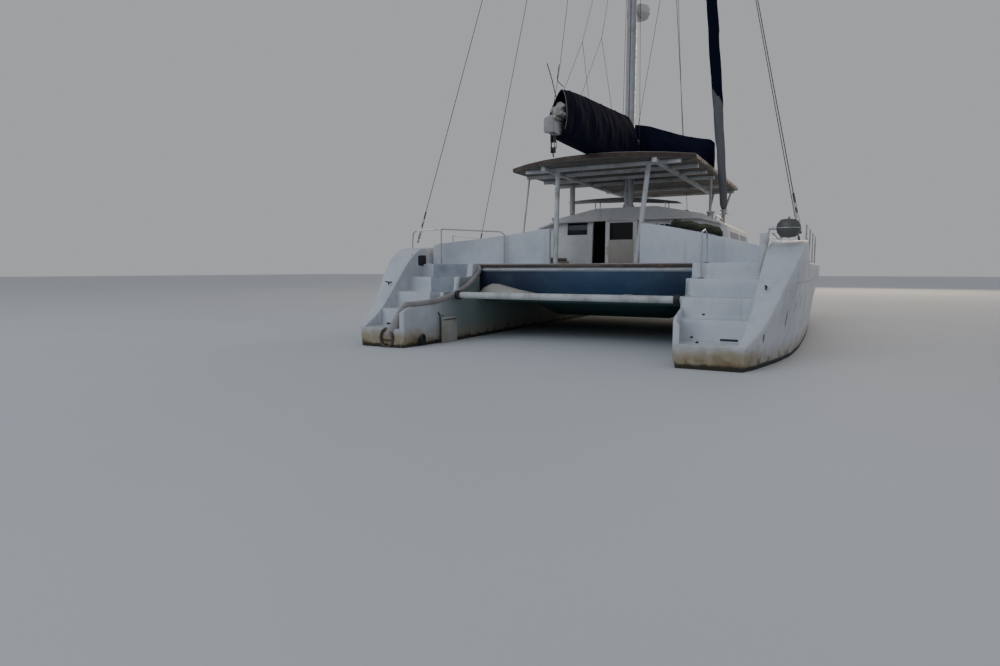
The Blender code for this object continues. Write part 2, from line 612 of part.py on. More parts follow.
def make_wheel():
    """The steering wheel: rim, hub and spokes."""
    centre = Vector((HELM_X, station(HELM_AT), WHEEL_Z))
    rim = []
    steps = 32
    for i in range(steps):
        t = 2 * math.pi * i / steps
        rim.append([centre + Vector(((WHEEL_R + a) * math.cos(t), b, (WHEEL_R + a) * math.sin(t)))
                    for a, b in circle(WHEEL_TUBE, 6)])
    count = len(rim[0])
    points = [p for ring in rim for p in ring]
    faces = [(i * count + j, i * count + (j + 1) % count,
              ((i + 1) % steps) * count + (j + 1) % count, ((i + 1) % steps) * count + j)
             for i in range(steps) for j in range(count)]
    pieces = [mesh_from(points, faces)]
    pieces.append(pipe([centre + Vector((0, 0.03, 0)), centre - Vector((0, 0.03, 0))], 0.045, 12))
    for i in range(5):
        t = 2 * math.pi * i / 5 + math.pi / 2
        out = Vector((math.cos(t), 0, math.sin(t)))
        pieces.append(pipe([centre + out * 0.03, centre + out * WHEEL_R], 0.008, 6))
    bore = pipe([centre + Vector((0, 0.2, 0)), centre - Vector((0, 0.2, 0))], WHEEL_SHAFT_R + GAP * 2, 16)
    piece("steering_wheel", cut(fuse(pieces), [bore]), "steel", tuple(centre))


def make_saloon():
    """The settee and table that show through the windows."""
    y = station(SALOON_FORE)
    low = SALOON_FLOOR + GAP
    back = block((-SALOON_HALF + GAP, y - 0.60, low), (SALOON_HALF - GAP, y - GAP, 1.22))
    side = block((-SALOON_HALF + GAP, y - 2.0, low), (-TRENCH_HALF, y - 0.5, 1.22))
    trench = block((-TRENCH_HALF + 0.05, y - 3.0, low - 0.1), (TRENCH_HALF - 0.05, y + 1.0, low + 0.02))
    piece("saloon_seat", cut(fuse([back, side]), [trench]), "gelcoat")
    galley = block((TRENCH_HALF + 0.10, station(SALOON_AFT) + GAP, low), (SALOON_HALF - GAP, y - 0.95, 1.58))
    piece("galley", galley, "gelcoat")


def roof_outline():
    """Plan of the hard roof, with a bowed aft edge and a stepped port side."""
    points = []
    for i in range(9):
        t = -1.0 + 2.0 * i / 8.0
        half = ROOF_PORT_HALF if t < 0 else ROOF_HALF
        points.append((half * t, station(ROOF_AFT - ROOF_BOW * (1.0 - t * t))))
    points += [(ROOF_HALF, station(ROOF_FORE)), (-ROOF_NOTCH_HALF, station(ROOF_FORE)),
               (-ROOF_NOTCH_HALF, station(ROOF_NOTCH_AT)), (-ROOF_PORT_HALF, station(ROOF_NOTCH_AT))]
    return points


def make_roof():
    """The hard roof and the frame of beams and posts that carries it."""
    mast_hole = mast_section(0.012, ROOF_UNDER - 0.5, ROOF_UNDER + 0.5)
    panel = prism(roof_outline(), ROOF_UNDER, ROOF_UNDER + ROOF_THICK, "Z")
    piece("roof", cut(panel, [mast_hole]), "paint")
    top, low = ROOF_UNDER - GAP, ROOF_UNDER - BEAM_DEEP
    beams = []
    for x, aft, fore in ((1.02, 3.00, 8.35), (-1.02, 3.00, 8.35)):
        beams.append(block((x - BEAM_WIDE / 2, station(aft), low), (x + BEAM_WIDE / 2, station(fore), top)))
    for v, left, right in ((3.30, -1.50, 1.40), (3.98, -1.80, 1.56), (4.80, -1.80, 1.56), (5.60, -1.80, 1.56),
                           (7.00, -1.15, 1.56), (8.30, -1.15, 1.56)):
        beams.append(block((left, station(v) - BEAM_WIDE / 2, low + 0.004),
                           (right, station(v) + BEAM_WIDE / 2, top)))
    posts = [
        ((0.76, 3.00, DECK_Z), (0.85, 3.30, low + 0.03), 0.045),
        ((-0.76, 3.00, DECK_Z), (-0.85, 3.30, low + 0.03), 0.045),
        ((-1.58, 3.20, DECK_Z), (-1.76, 3.98, low + 0.03), 0.018),
        ((1.50, 5.60, 2.10), (1.50, 5.60, low + 0.03), 0.026),
        ((-1.45, 5.55, 2.10), (-1.45, 5.55, low + 0.03), 0.060),
        ((1.10, 7.30, 2.00), (1.10, 8.30, low + 0.03), 0.024),
        ((-1.05, 7.30, 2.00), (-1.05, 8.30, low + 0.03), 0.024),
        ((1.42, 7.00, 2.00), (1.50, 8.30, low + 0.03), 0.024),
    ]
    cabin = loft(cabin_rings(-GAP, -GAP))
    rods = []
    for foot, head, radius in posts:
        f = (foot[0], station(foot[1]), foot[2] + GAP)
        h = (head[0], station(head[1]), head[2])
        rods.append(pipe([f, (f[0], f[1], f[2] + 0.05), h], radius, 10))
    frame = cut(fuse(beams + rods), [cabin])
    piece("roof_frame", frame, "paint")


def mast_section(grow, low, high):
    """A length of the mast's oval section."""
    ring = [(x, y) for x, y in circle(0.5, 20)]
    wide, long = MAST_WIDE + 2 * grow, MAST_LONG + 2 * grow
    return loft([[(x * wide, station(MAST_AT) + y * long, z) for x, y in ring] for z in (low, high)])


def stay_ends(head, foot):
    """Where a stay starts and ends between its tang and its chainplate."""
    head, foot = Vector(head), Vector(foot)
    aim = (foot - head).normalized()
    across = math.hypot(aim.x, aim.y)
    return head + aim * (TANG_REACH / across), foot, aim


def make_mast():
    """Mast with spreaders, crane and tangs, and the radar dome."""
    y = station(MAST_AT)
    parts = [mast_section(0.0, MAST_FOOT + 0.03, MAST_TOP)]
    parts.append(mast_section(0.03, MAST_FOOT + GAP, MAST_FOOT + 0.05))
    for z, reach in SPREADERS:
        for side in (-1, 1):
            tip = (side * reach, y - reach * 0.12, z + 0.06)
            parts.append(pipe([(side * 0.02, y, z), tip], [0.045, 0.022], 8))
    for foot in stay_feet():
        head = Vector((0, y, MAST_TOP - 0.12))
        start, _, aim = stay_ends(head, foot)
        parts.append(pipe([head, start], TANG_R, 8))
    bracket_z = 6.30
    parts.append(block((-0.05, y, bracket_z - 0.04), (0.05, y + 0.42, bracket_z)))
    lug_low, lug_high = gooseneck_layer()
    parts.append(block((-GOOSENECK_HALF, y - GOOSENECK_ARM - GOOSENECK_HALF, lug_low),
                       (GOOSENECK_HALF, y, lug_high)))
    piece("mast", fuse(parts), "alloy")
    dome = ((0.20, 0.0), (0.235, 0.05), (0.235, 0.13), (0.20, 0.21), (0.10, 0.25), (0.02, 0.26))
    piece("radar_dome", lathe(dome, 24, (0, y + 0.42, bracket_z + GAP)), "paint")


def stay_feet():
    """The lower ends of the main stays."""
    feet = []
    for side in (-1, 1):
        for forward, x in ((SHROUD_AT, HULL_CENTRE + 0.80), (BACKSTAY_AT, HULL_CENTRE + 0.86)):
            top = chain_top(forward, x)
            feet.append(Vector((side * top.x, top.y, top.z)))
    feet.append(Vector((0, station(BEAM_FORE_AT), BEAM_FORE_Z + 0.20)))
    return feet


def make_stays():
    """Cap shrouds, backstays and forestay."""
    names = ("shroud_port", "backstay_port", "shroud_starboard", "backstay_starboard", "forestay")
    for name, foot in zip(names, stay_feet()):
        head = Vector((0, station(MAST_AT), MAST_TOP - 0.12))
        start, end, aim = stay_ends(head, foot)
        path = [start + aim * GAP, end - aim * 0.62, end - aim * 0.60, end - aim * GAP]
        piece(name, pipe(path, [STAY_R, STAY_R, TANG_R, TANG_R], 6), "steel")


def gooseneck_layer():
    """Lowest and highest point of the mast's lug, between the boom's ears."""
    return BOOM_Z + BOOM_DEEP * 0.32, BOOM_Z + BOOM_DEEP * 0.68


def make_boom():
    """Boom and the sail cover on it."""
    pivot = station(MAST_AT) - GOOSENECK_ARM
    fore, aft = pivot - 0.055, station(BOOM_END)
    half, top = BOOM_WIDE / 2, BOOM_Z + BOOM_DEEP
    spar = prism([(-half, BOOM_Z), (half, BOOM_Z), (half, top), (-half, top)], aft, fore, "Y")
    lug_low, lug_high = gooseneck_layer()
    ears = []
    for low, high in ((BOOM_Z, lug_low - GAP), (lug_high + GAP, top)):
        ears.append(block((-GOOSENECK_HALF, fore - 0.05, low),
                          (GOOSENECK_HALF, pivot + GOOSENECK_HALF, high)))
    origin = (0, pivot, BOOM_Z)
    piece("boom", fuse([spar] + ears), "alloy", origin)
    low = BOOM_Z + BOOM_DEEP + GAP
    rings = []
    for v, half, top in ((BOOM_END + 0.05, 0.12, 3.66), (1.15, 0.16, 3.84), (1.50, 0.19, 4.01),
                         (1.90, COVER_HALF, COVER_TOP_AFT), (3.30, COVER_HALF, 4.19),
                         (4.74, 0.17, COVER_TOP_FORE)):
        mid = (low + top) / 2
        rings.append([(half * 0.5, station(v), low), (half, station(v), low + (mid - low) * 0.6),
                      (half * 0.92, station(v), mid), (half * 0.35, station(v), top),
                      (-half * 0.35, station(v), top), (-half * 0.92, station(v), mid),
                      (-half, station(v), low + (mid - low) * 0.6), (-half * 0.5, station(v), low)])
    piece("sail_cover", loft(rings), "canvas", origin)


def make_roll():
    """The rolled headsail that hangs from the starboard spreader's end."""
    z, reach = SPREADERS[0]
    head = Vector((reach, station(MAST_AT) - reach * 0.12, z + 0.06 - 0.022 - GAP * 4))
    foot = Vector((ROLL_FOOT[0], station(ROLL_FOOT[1]), ROLL_FOOT[2]))
    inside = foot - Vector((0, 0, 0.20))
    path = [inside, foot] + [foot + (head - foot) * share for share in (0.02, 0.5, 0.95)] + [head]
    radii = [0.02, 0.02, ROLL_R * 0.85, ROLL_R * 1.25, ROLL_R * 0.6, 0.012]
    roll = cut(pipe(path, radii, 12), [loft(cabin_rings(-GAP, -GAP))])
    piece("furled_headsail", roll, "canvas")


def make_sail_bag():
    """The bag of spare canvas that lies across the roof beside the mast."""
    low = ROOF_UNDER + ROOF_THICK + GAP
    rings = []
    for x, top, half in ((0.20, 4.14, 0.18), (0.55, 4.03, 0.24), (1.00, 3.86, 0.24), (1.40, 3.75, 0.20),
                         (1.57, 3.67, 0.12)):
        y = station(5.42)
        rings.append([(x, y + half, low), (x, y + half * 1.1, low + 0.15), (x, y + half * 0.5, top - 0.05),
                      (x, y, top), (x, y - half * 0.5, top - 0.05), (x, y - half * 1.1, low + 0.15),
                      (x, y - half, low)])
    piece("sail_bag", loft(rings), "canvas")


def make_forward():
    """Forward beam, centre spar, nets and the bow rails."""
    y = station(BEAM_FORE_AT)
    inner = HULL_CENTRE - 0.30
    beam = pipe([(-inner, y, BEAM_FORE_Z), (inner, y, BEAM_FORE_Z)], BEAM_FORE_R, 16)
    post = pipe([(0, y, BEAM_FORE_Z), (0, y, BEAM_FORE_Z + 0.12)], 0.03, 8)
    foot = Vector((0, y, BEAM_FORE_Z + 0.20))
    aim = (Vector((0, station(MAST_AT), MAST_TOP - 0.12)) - foot).normalized()
    tang = pipe([foot - aim * 0.18, foot], TANG_R, 8)
    spar = block((-0.06, station(BRIDGE_FORE) + GAP, BEAM_FORE_Z - 0.11), (0.06, y, BEAM_FORE_Z))
    piece("forward_beam", fuse([beam, post, tang, spar]), "alloy")
    net_z = BEAM_FORE_Z - 0.03
    plan = []
    for v in (BRIDGE_FORE + 0.02, 9.8, 10.8, BEAM_FORE_AT - BEAM_FORE_R - 0.004):
        plan.append((HULL_CENTRE - hull_side(v, 5) - 0.02, station(v)))
    plan[0] = (plan[0][0], station(BRIDGE_FORE) + GAP)
    plan.insert(0, (0.062, station(BRIDGE_FORE) + GAP))
    plan.append((0.062, station(BEAM_FORE_AT - BEAM_FORE_R - 0.004)))
    both_sides("net", prism(plan, net_z, net_z + 0.014, "Z"), "net")
    make_bow_rails()


def standing(place):
    """The two lowest points of a tube that stands upright on a hull's deck."""
    x, forward = place
    deck = hull_side(forward, 4) + SLOPE_LIFT
    return [(x, station(forward), deck), (x, station(forward), deck + 0.06)]


def rail_path(rows):
    """Points at a deck-edge inset, forward place and height above deck."""
    return [(HULL_CENTRE + hull_side(v, 2) - inset, station(v), hull_side(v, 4) + up)
            for v, inset, up in rows]


def make_bow_rails():
    """Bow pulpits and the guard rails along the side decks."""
    hoop = standing((HULL_CENTRE + 0.40, 11.0)) + [
        (HULL_CENTRE + 0.36, station(11.05), 2.06), (HULL_CENTRE + 0.16, station(11.85), 2.12),
        (HULL_CENTRE - 0.16, station(11.85), 2.12), (HULL_CENTRE - 0.36, station(11.05), 2.06)]
    hoop += standing((HULL_CENTRE - 0.40, 11.0))[::-1]
    legs = [pipe(standing((HULL_CENTRE + s * 0.04, 11.75)) + [(HULL_CENTRE + s * 0.10, station(11.85), 2.12)],
                 0.012, 6) for s in (-1, 1)]
    both_sides("bow_rail", fuse([pipe(hoop, 0.014, 6)] + legs), "steel")
    posts = []
    tops, mids = [], []
    for v in (3.6, 5.0, 6.4, 7.8, 9.2, 10.4):
        inset = 0.09
        foot, head = rail_path(((v, inset, SLOPE_LIFT), (v, inset, 0.62)))
        posts.append(pipe([foot, head], 0.012, 6))
        tops.append(rail_path(((v, inset, 0.60),))[0])
        mids.append(rail_path(((v, inset, 0.32),))[0])
    wires = [pipe(tops, 0.004, 5), pipe(mids, 0.004, 5)]
    both_sides("guard_rail", fuse(posts + wires), "steel")


def make_stern():
    """Stern tube, stern rails, and the davit strut with the grill on its arm."""
    y = station(STERN_TUBE_AT)
    reach = HULL_CENTRE - HULL_INNER + 0.3
    tube = pipe([(-reach, y, STERN_TUBE_Z), (reach, y, STERN_TUBE_Z)], STERN_TUBE_R, 14)
    beside = loft([hull_ring(row) for row in HULL_STATIONS])
    beside.transform(Matrix.Translation((-2 * GAP, 0, 0)))
    tube = cut(tube, [beside, mirrored(beside)])
    arms = [block((x - 0.04, y, STERN_TUBE_Z - 0.035),
                  (x + 0.04, station(BRIDGE_AFT) - GAP, STERN_TUBE_Z + 0.035))
            for x in (-0.9, 0.9)]
    piece("stern_tube", fuse([tube] + arms), "paint")
    quarter, tread, deck = hull_side(2.05, 4) + SLOPE_LIFT, SCOOP_STEPS[3][1] + GAP, DECK_Z + GAP
    rail = [(-3.28, 2.05, quarter), (-3.28, 2.05, 1.70), (-3.26, 2.05, 1.88), (-3.18, 2.05, 1.93),
            (-2.72, 2.18, 1.95), (-1.74, 2.68, 1.90), (-1.66, 2.70, 1.84), (-1.66, 2.70, deck)]
    legs = [((-2.72, 2.18, 1.95), (-2.72, 2.18, deck))]
    port = [pipe([(x, station(v), z) for x, v, z in path], 0.014, 6) for path in [rail] + legs]
    piece("stern_rail_port", fuse(port), "steel")
    hoop = [(2.05, 1.88, tread), (2.05, 1.88, 1.66), (2.04, 1.94, 1.76), (2.04, 2.14, 1.80), (2.05, 2.27, 1.75),
            (2.05, 2.30, 1.66), (2.05, 2.30, deck)]
    piece("stern_rail_starboard", pipe([(x, station(v), z) for x, v, z in hoop], 0.014, 6), "steel")
    reach = GRILL_AT[0] - GRILL_R - GAP
    strut = [(2.87, 1.70, tread), (2.87, 1.70, 1.20), (2.95, 1.70, 1.60), (2.98, GRILL_AT[1], GRILL_AT[2]),
             (reach, GRILL_AT[1], GRILL_AT[2])]
    piece("davit_strut", pipe([(x, station(v), z) for x, v, z in strut], [0.026, 0.026, 0.026, 0.014, 0.014], 8),
          "paint")
    kettle = ((0.02, -0.13), (0.10, -0.115), (0.145, -0.06), (GRILL_R, 0.0), (0.145, 0.06),
              (0.10, 0.115), (0.02, 0.13))
    piece("rail_grill", lathe(kettle, 20, (GRILL_AT[0], station(GRILL_AT[1]), GRILL_AT[2])), "iron")


def build():
    """Make every piece."""
    clear_scene()
    make_hulls()
    make_keels()
    make_rudders()
    make_drives()
    make_engines()
    make_bridgedeck()
    make_cabin()
    make_cockpit()
    make_saloon()
    make_roof()
    make_mast()
    make_stays()
    make_boom()
    make_roll()
    make_sail_bag()
    make_forward()
    make_stern()


build()
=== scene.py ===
"""Looks of the sailing catamaran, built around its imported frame.

Every size is in metres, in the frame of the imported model: +Y to the bow, +X to
starboard, +Z up, with the origin amidships at the waterline.
"""
import logging
import math
from dataclasses import dataclass
from enum import Enum, IntEnum
from typing import Optional, Sequence

import bmesh
import bpy
from mathutils import Matrix, Vector


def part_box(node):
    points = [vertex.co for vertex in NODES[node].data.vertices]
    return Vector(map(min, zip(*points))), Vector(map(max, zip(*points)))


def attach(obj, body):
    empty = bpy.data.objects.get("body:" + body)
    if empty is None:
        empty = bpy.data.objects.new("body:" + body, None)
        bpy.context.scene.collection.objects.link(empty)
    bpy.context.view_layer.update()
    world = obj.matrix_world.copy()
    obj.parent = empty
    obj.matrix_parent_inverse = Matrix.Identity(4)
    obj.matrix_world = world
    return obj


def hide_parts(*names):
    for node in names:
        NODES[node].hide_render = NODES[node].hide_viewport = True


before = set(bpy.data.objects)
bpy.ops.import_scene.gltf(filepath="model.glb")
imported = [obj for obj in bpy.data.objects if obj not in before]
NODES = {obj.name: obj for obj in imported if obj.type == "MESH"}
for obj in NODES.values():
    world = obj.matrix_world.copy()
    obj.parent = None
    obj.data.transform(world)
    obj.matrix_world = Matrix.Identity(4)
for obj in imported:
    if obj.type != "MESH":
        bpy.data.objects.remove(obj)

LOG = logging.getLogger("catamaran")
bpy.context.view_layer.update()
LENGTH = 12.0
DECK_Z = 1.30
EASE_SEGMENTS = 3
EASE_ANGLE = 32.0
WELD_GAP = 0.0001
SHELL_SMOOTH = 30.0

Colour = tuple[float, float, float]
Ring = list[Vector]
Socket = bpy.types.NodeSocket


class Side(Enum):
    """Which side of the centreline a piece is on."""

    PORT = -1
    STARBOARD = 1

    @property
    def word(self) -> str:
        """The side's name as node names spell it."""
        return self.name.lower()


class Slot(Enum):
    """The record's material slots, one passed with each piece made here."""

    GELCOAT = "gelcoat"
    CANVAS = "canvas"
    ALLOY = "alloy"
    STEEL = "steel"
    PAINT = "paint"
    NET = "net"
    IRON = "iron"


class Coat(IntEnum):
    """The finishes of a hull's shell, in the order that its mesh holds them."""

    SKIN = 0
    BOTTOM = 1
    STEP_PAD = 2
    DECK_PAD = 3


class Cap(Enum):
    """How the two ends of a skinned form are closed."""

    FLAT = "flat"
    OPEN = "open"


def station(forward: float) -> float:
    """Y of a place given forward of the stern."""
    return forward - LENGTH / 2.0


def lerp(a: float, b: float, t: float) -> float:
    """The value a share t of the way from a to b."""
    return a + (b - a) * t


def glide(t: float) -> float:
    """Smooth step of a share between zero and one."""
    t = min(max(t, 0.0), 1.0)
    return t * t * (3.0 - 2.0 * t)


def within(value: float, ends: tuple[float, float]) -> bool:
    """Whether a value lies between two ends."""
    return ends[0] < value < ends[1]


def monotone(table: Sequence[Sequence[float]], key: float, column: int) -> float:
    """Read a table's column at a key with a curve that never overshoots.

    Args:
        table: Rows that rise in column 0.
        key: The place in column 0.
        column: The column to read.

    Returns:
        The value there.
    """
    count = len(table)
    if key <= table[0][0]:
        return table[0][column]
    if key >= table[-1][0]:
        return table[-1][column]
    i = max(k for k in range(count - 1) if table[k][0] <= key)
    steps = [table[k + 1][0] - table[k][0] for k in range(count - 1)]
    rises = [(table[k + 1][column] - table[k][column]) / steps[k] for k in range(count - 1)]

    def slope(k: int) -> float:
        """Slope of the curve at row k."""
        if k == 0:
            return rises[0]
        if k == count - 1:
            return rises[-1]
        if rises[k - 1] * rises[k] <= 0.0:
            return 0.0
        return 2.0 * rises[k - 1] * rises[k] / (rises[k - 1] + rises[k])

    h = steps[i]
    t = (key - table[i][0]) / h
    a, b = table[i][column], table[i + 1][column]
    return ((1 + 2 * t) * (1 - t) ** 2 * a + t * (1 - t) ** 2 * h * slope(i)
            + t * t * (3 - 2 * t) * b + t * t * (t - 1) * h * slope(i + 1))


def curve_through(points: Sequence[Sequence[float]], per_span: int = 6) -> Ring:
    """A smooth line through points.

    Args:
        points: The points it passes.
        per_span: Steps between two of them.

    Returns:
        The line's points.
    """
    ends = [Vector(p) for p in points]
    line = []
    for i in range(len(ends) - 1):
        before = ends[max(i - 1, 0)]
        after = ends[min(i + 2, len(ends) - 1)]
        a, b = ends[i], ends[i + 1]
        for k in range(per_span):
            t = k / per_span
            square = (2 * before - 5 * a + 4 * b - after) * t * t
            cube = (3 * a - before - 3 * b + after) * t ** 3
            line.append(0.5 * (2 * a + (b - before) * t + square + cube))
    line.append(ends[-1])
    return line


class Pen:
    """Collects the points and faces of one piece, then makes its object."""

    def __init__(self) -> None:
        """Start with nothing drawn."""
        self.points: list[Vector] = []
        self.faces: list[tuple[int, ...]] = []
        self.marks: list[int] = []

    def skin(self, rings: Sequence[Sequence[Sequence[float]]], cap: Cap = Cap.FLAT, mark: int = 0,
             closed: bool = True) -> None:
        """Skin rings that share a count of points.

        Args:
            rings: The rings, in order.
            cap: How the two ends close.
            mark: The finish of these faces.
            closed: Whether each ring joins its own ends.
        """
        start, count = len(self.points), len(rings[0])
        for ring in rings:
            self.points.extend(Vector(p) for p in ring)
        last = count if closed else count - 1
        for i in range(len(rings) - 1):
            for j in range(last):
                k = (j + 1) % count
                a, b = start + i * count, start + (i + 1) * count
                self.face((a + j, a + k, b + k, b + j), mark)
        if cap is Cap.FLAT and closed:
            self.face(tuple(range(start + count - 1, start - 1, -1)), mark)
            end = start + (len(rings) - 1) * count
            self.face(tuple(range(end, end + count)), mark)

    def face(self, corners: tuple[int, ...], mark: int = 0) -> None:
        """Add one face with its finish."""
        self.faces.append(corners)
        self.marks.append(mark)

    def tube(self, path: Sequence[Sequence[float]], radius: float | Sequence[float], sides: int = 10,
             mark: int = 0, flat: float = 1.0) -> None:
        """A round bar, rope or pipe along a path.

        Args:
            path: Its centreline.
            radius: One radius, or one for each point.
            sides: Sides of its section.
            mark: Its finish.
            flat: Height of the section as a share of its width.
        """
        points = [Vector(p) for p in path]
        radii = list(radius) if isinstance(radius, (list, tuple)) else [radius] * len(points)
        tangents = []
        for i, point in enumerate(points):
            before = (point - points[max(i - 1, 0)]).normalized()
            after = (points[min(i + 1, len(points) - 1)] - point).normalized()
            tangents.append((before + after).normalized())
        guide = Vector((0, 0, 1)) if abs(tangents[0].z) < 0.9 else Vector((0, 1, 0))
        side = tangents[0].cross(guide).normalized()
        rings = []
        for point, tangent, r in zip(points, tangents, radii):
            side = (side - tangent * side.dot(tangent)).normalized()
            up = tangent.cross(side)
            rings.append([point + side * (r * math.cos(2 * math.pi * k / sides))
                          + up * (r * flat * math.sin(2 * math.pi * k / sides)) for k in range(sides)])
        self.skin(rings, Cap.FLAT, mark)

    def box(self, low: Sequence[float], high: Sequence[float], mark: int = 0,
            round_by: float = 0.004) -> None:
        """A block with eased edges.

        Args:
            low: Its lowest corner.
            high: Its highest corner.
            mark: Its finish.
            round_by: Radius of its edges.
        """
        lo, hi = Vector(low), Vector(high)
        r = min([round_by] + [(hi[i] - lo[i]) * 0.45 for i in range(3)])
        rings = []
        for z, inset in ((lo.z, r), (lo.z + r * 0.3, r * 0.3), (lo.z + r, 0.0),
                         (hi.z - r, 0.0), (hi.z - r * 0.3, r * 0.3), (hi.z, r)):
            rings.append(self.plate_ring(lo, hi, z, inset, r))
        self.skin(rings, Cap.FLAT, mark)

    @staticmethod
    def plate_ring(lo: Vector, hi: Vector, z: float, inset: float, r: float) -> Ring:
        """A level outline with its four corners cut round."""
        ring = []
        for cx, cy, first in ((hi.x - r, hi.y - r, 0), (lo.x + r, hi.y - r, 90),
                              (lo.x + r, lo.y + r, 180), (hi.x - r, lo.y + r, 270)):
            for k in range(3):
                t = math.radians(first + 45 * k)
                ring.append(Vector((cx + (r - inset) * math.cos(t), cy + (r - inset) * math.sin(t), z)))
        return ring

    def lathe(self, profile: Sequence[tuple[float, float]], where: Matrix, sides: int = 24,
              mark: int = 0) -> None:
        """Turn a profile about its own Z, then set it in place.

        Args:
            profile: Radius and height of each row.
            where: The matrix that sets it in place.
            sides: Sides of its section.
            mark: Its finish.
        """
        turns = [2 * math.pi * k / sides for k in range(sides)]
        rings = [[where @ Vector((r * math.cos(t), r * math.sin(t), z)) for t in turns] for r, z in profile]
        self.skin(rings, Cap.FLAT, mark)

    def make(self, name: str, finishes: Sequence["Finish"], smooth: float = 38.0) -> bpy.types.Object:
        """Make the object.

        Args:
            name: The piece's name.
            finishes: Its finishes, in the order of the marks.
            smooth: Angle in degrees under which an edge is shaded smooth.

        Returns:
            The linked object, at the frame's origin.
        """
        mesh = bpy.data.meshes.new(name)
        mesh.from_pydata([tuple(p) for p in self.points], [], self.faces)
        mesh.polygons.foreach_set("material_index", self.marks)
        for finish in finishes:
            mesh.materials.append(finish.material())
        bm = bmesh.new()
        bm.from_mesh(mesh)
        bmesh.ops.recalc_face_normals(bm, faces=bm.faces)
        bm.to_mesh(mesh)
        bm.free()
        mesh.shade_smooth()
        mesh.set_sharp_from_angle(angle=math.radians(smooth))
        obj = bpy.data.objects.new(name, mesh)
        bpy.context.scene.collection.objects.link(obj)
        return obj


def place(obj: bpy.types.Object, slot: Slot, body: str = "root", instead: Sequence[str] = ()) -> None:
    """Ride a piece on its body and hide the nodes of the frame that it replaces.

    Args:
        obj: The piece.
        slot: The record's slot of its main finish; not used.
        body: The body it moves with.
        instead: Nodes of the frame that it replaces.
    """
    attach(obj, body)
    if instead:
        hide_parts(*instead)
    LOG.info("%s rides on %s", obj.name, body)


def carve(obj: bpy.types.Object, low: Sequence[float], high: Sequence[float]) -> None:
    """Cut a box out of a closed piece for good."""
    pen = Pen()
    pen.box(low, high, round_by=0.001)
    tool = pen.make("cutter", [])
    cut = obj.modifiers.new("cut", "BOOLEAN")
    cut.object, cut.operation, cut.solver = tool, "DIFFERENCE", "EXACT"
    graph = bpy.context.evaluated_depsgraph_get()
    mesh = bpy.data.meshes.new_from_object(obj.evaluated_get(graph))
    obj.modifiers.clear()
    obj.data = mesh
    bpy.data.objects.remove(tool, do_unlink=True)


def ease(obj: bpy.types.Object, width: float) -> None:
    """Round the edges of a node of the frame with modifiers, within its form."""
    weld = obj.modifiers.new("weld", "WELD")
    weld.merge_threshold = WELD_GAP
    bevel = obj.modifiers.new("ease", "BEVEL")
    bevel.width, bevel.segments = width, EASE_SEGMENTS
    bevel.limit_method, bevel.angle_limit = "ANGLE", math.radians(EASE_ANGLE)
    bevel.harden_normals = False
    for poly in obj.data.polygons:
        poly.use_smooth = True


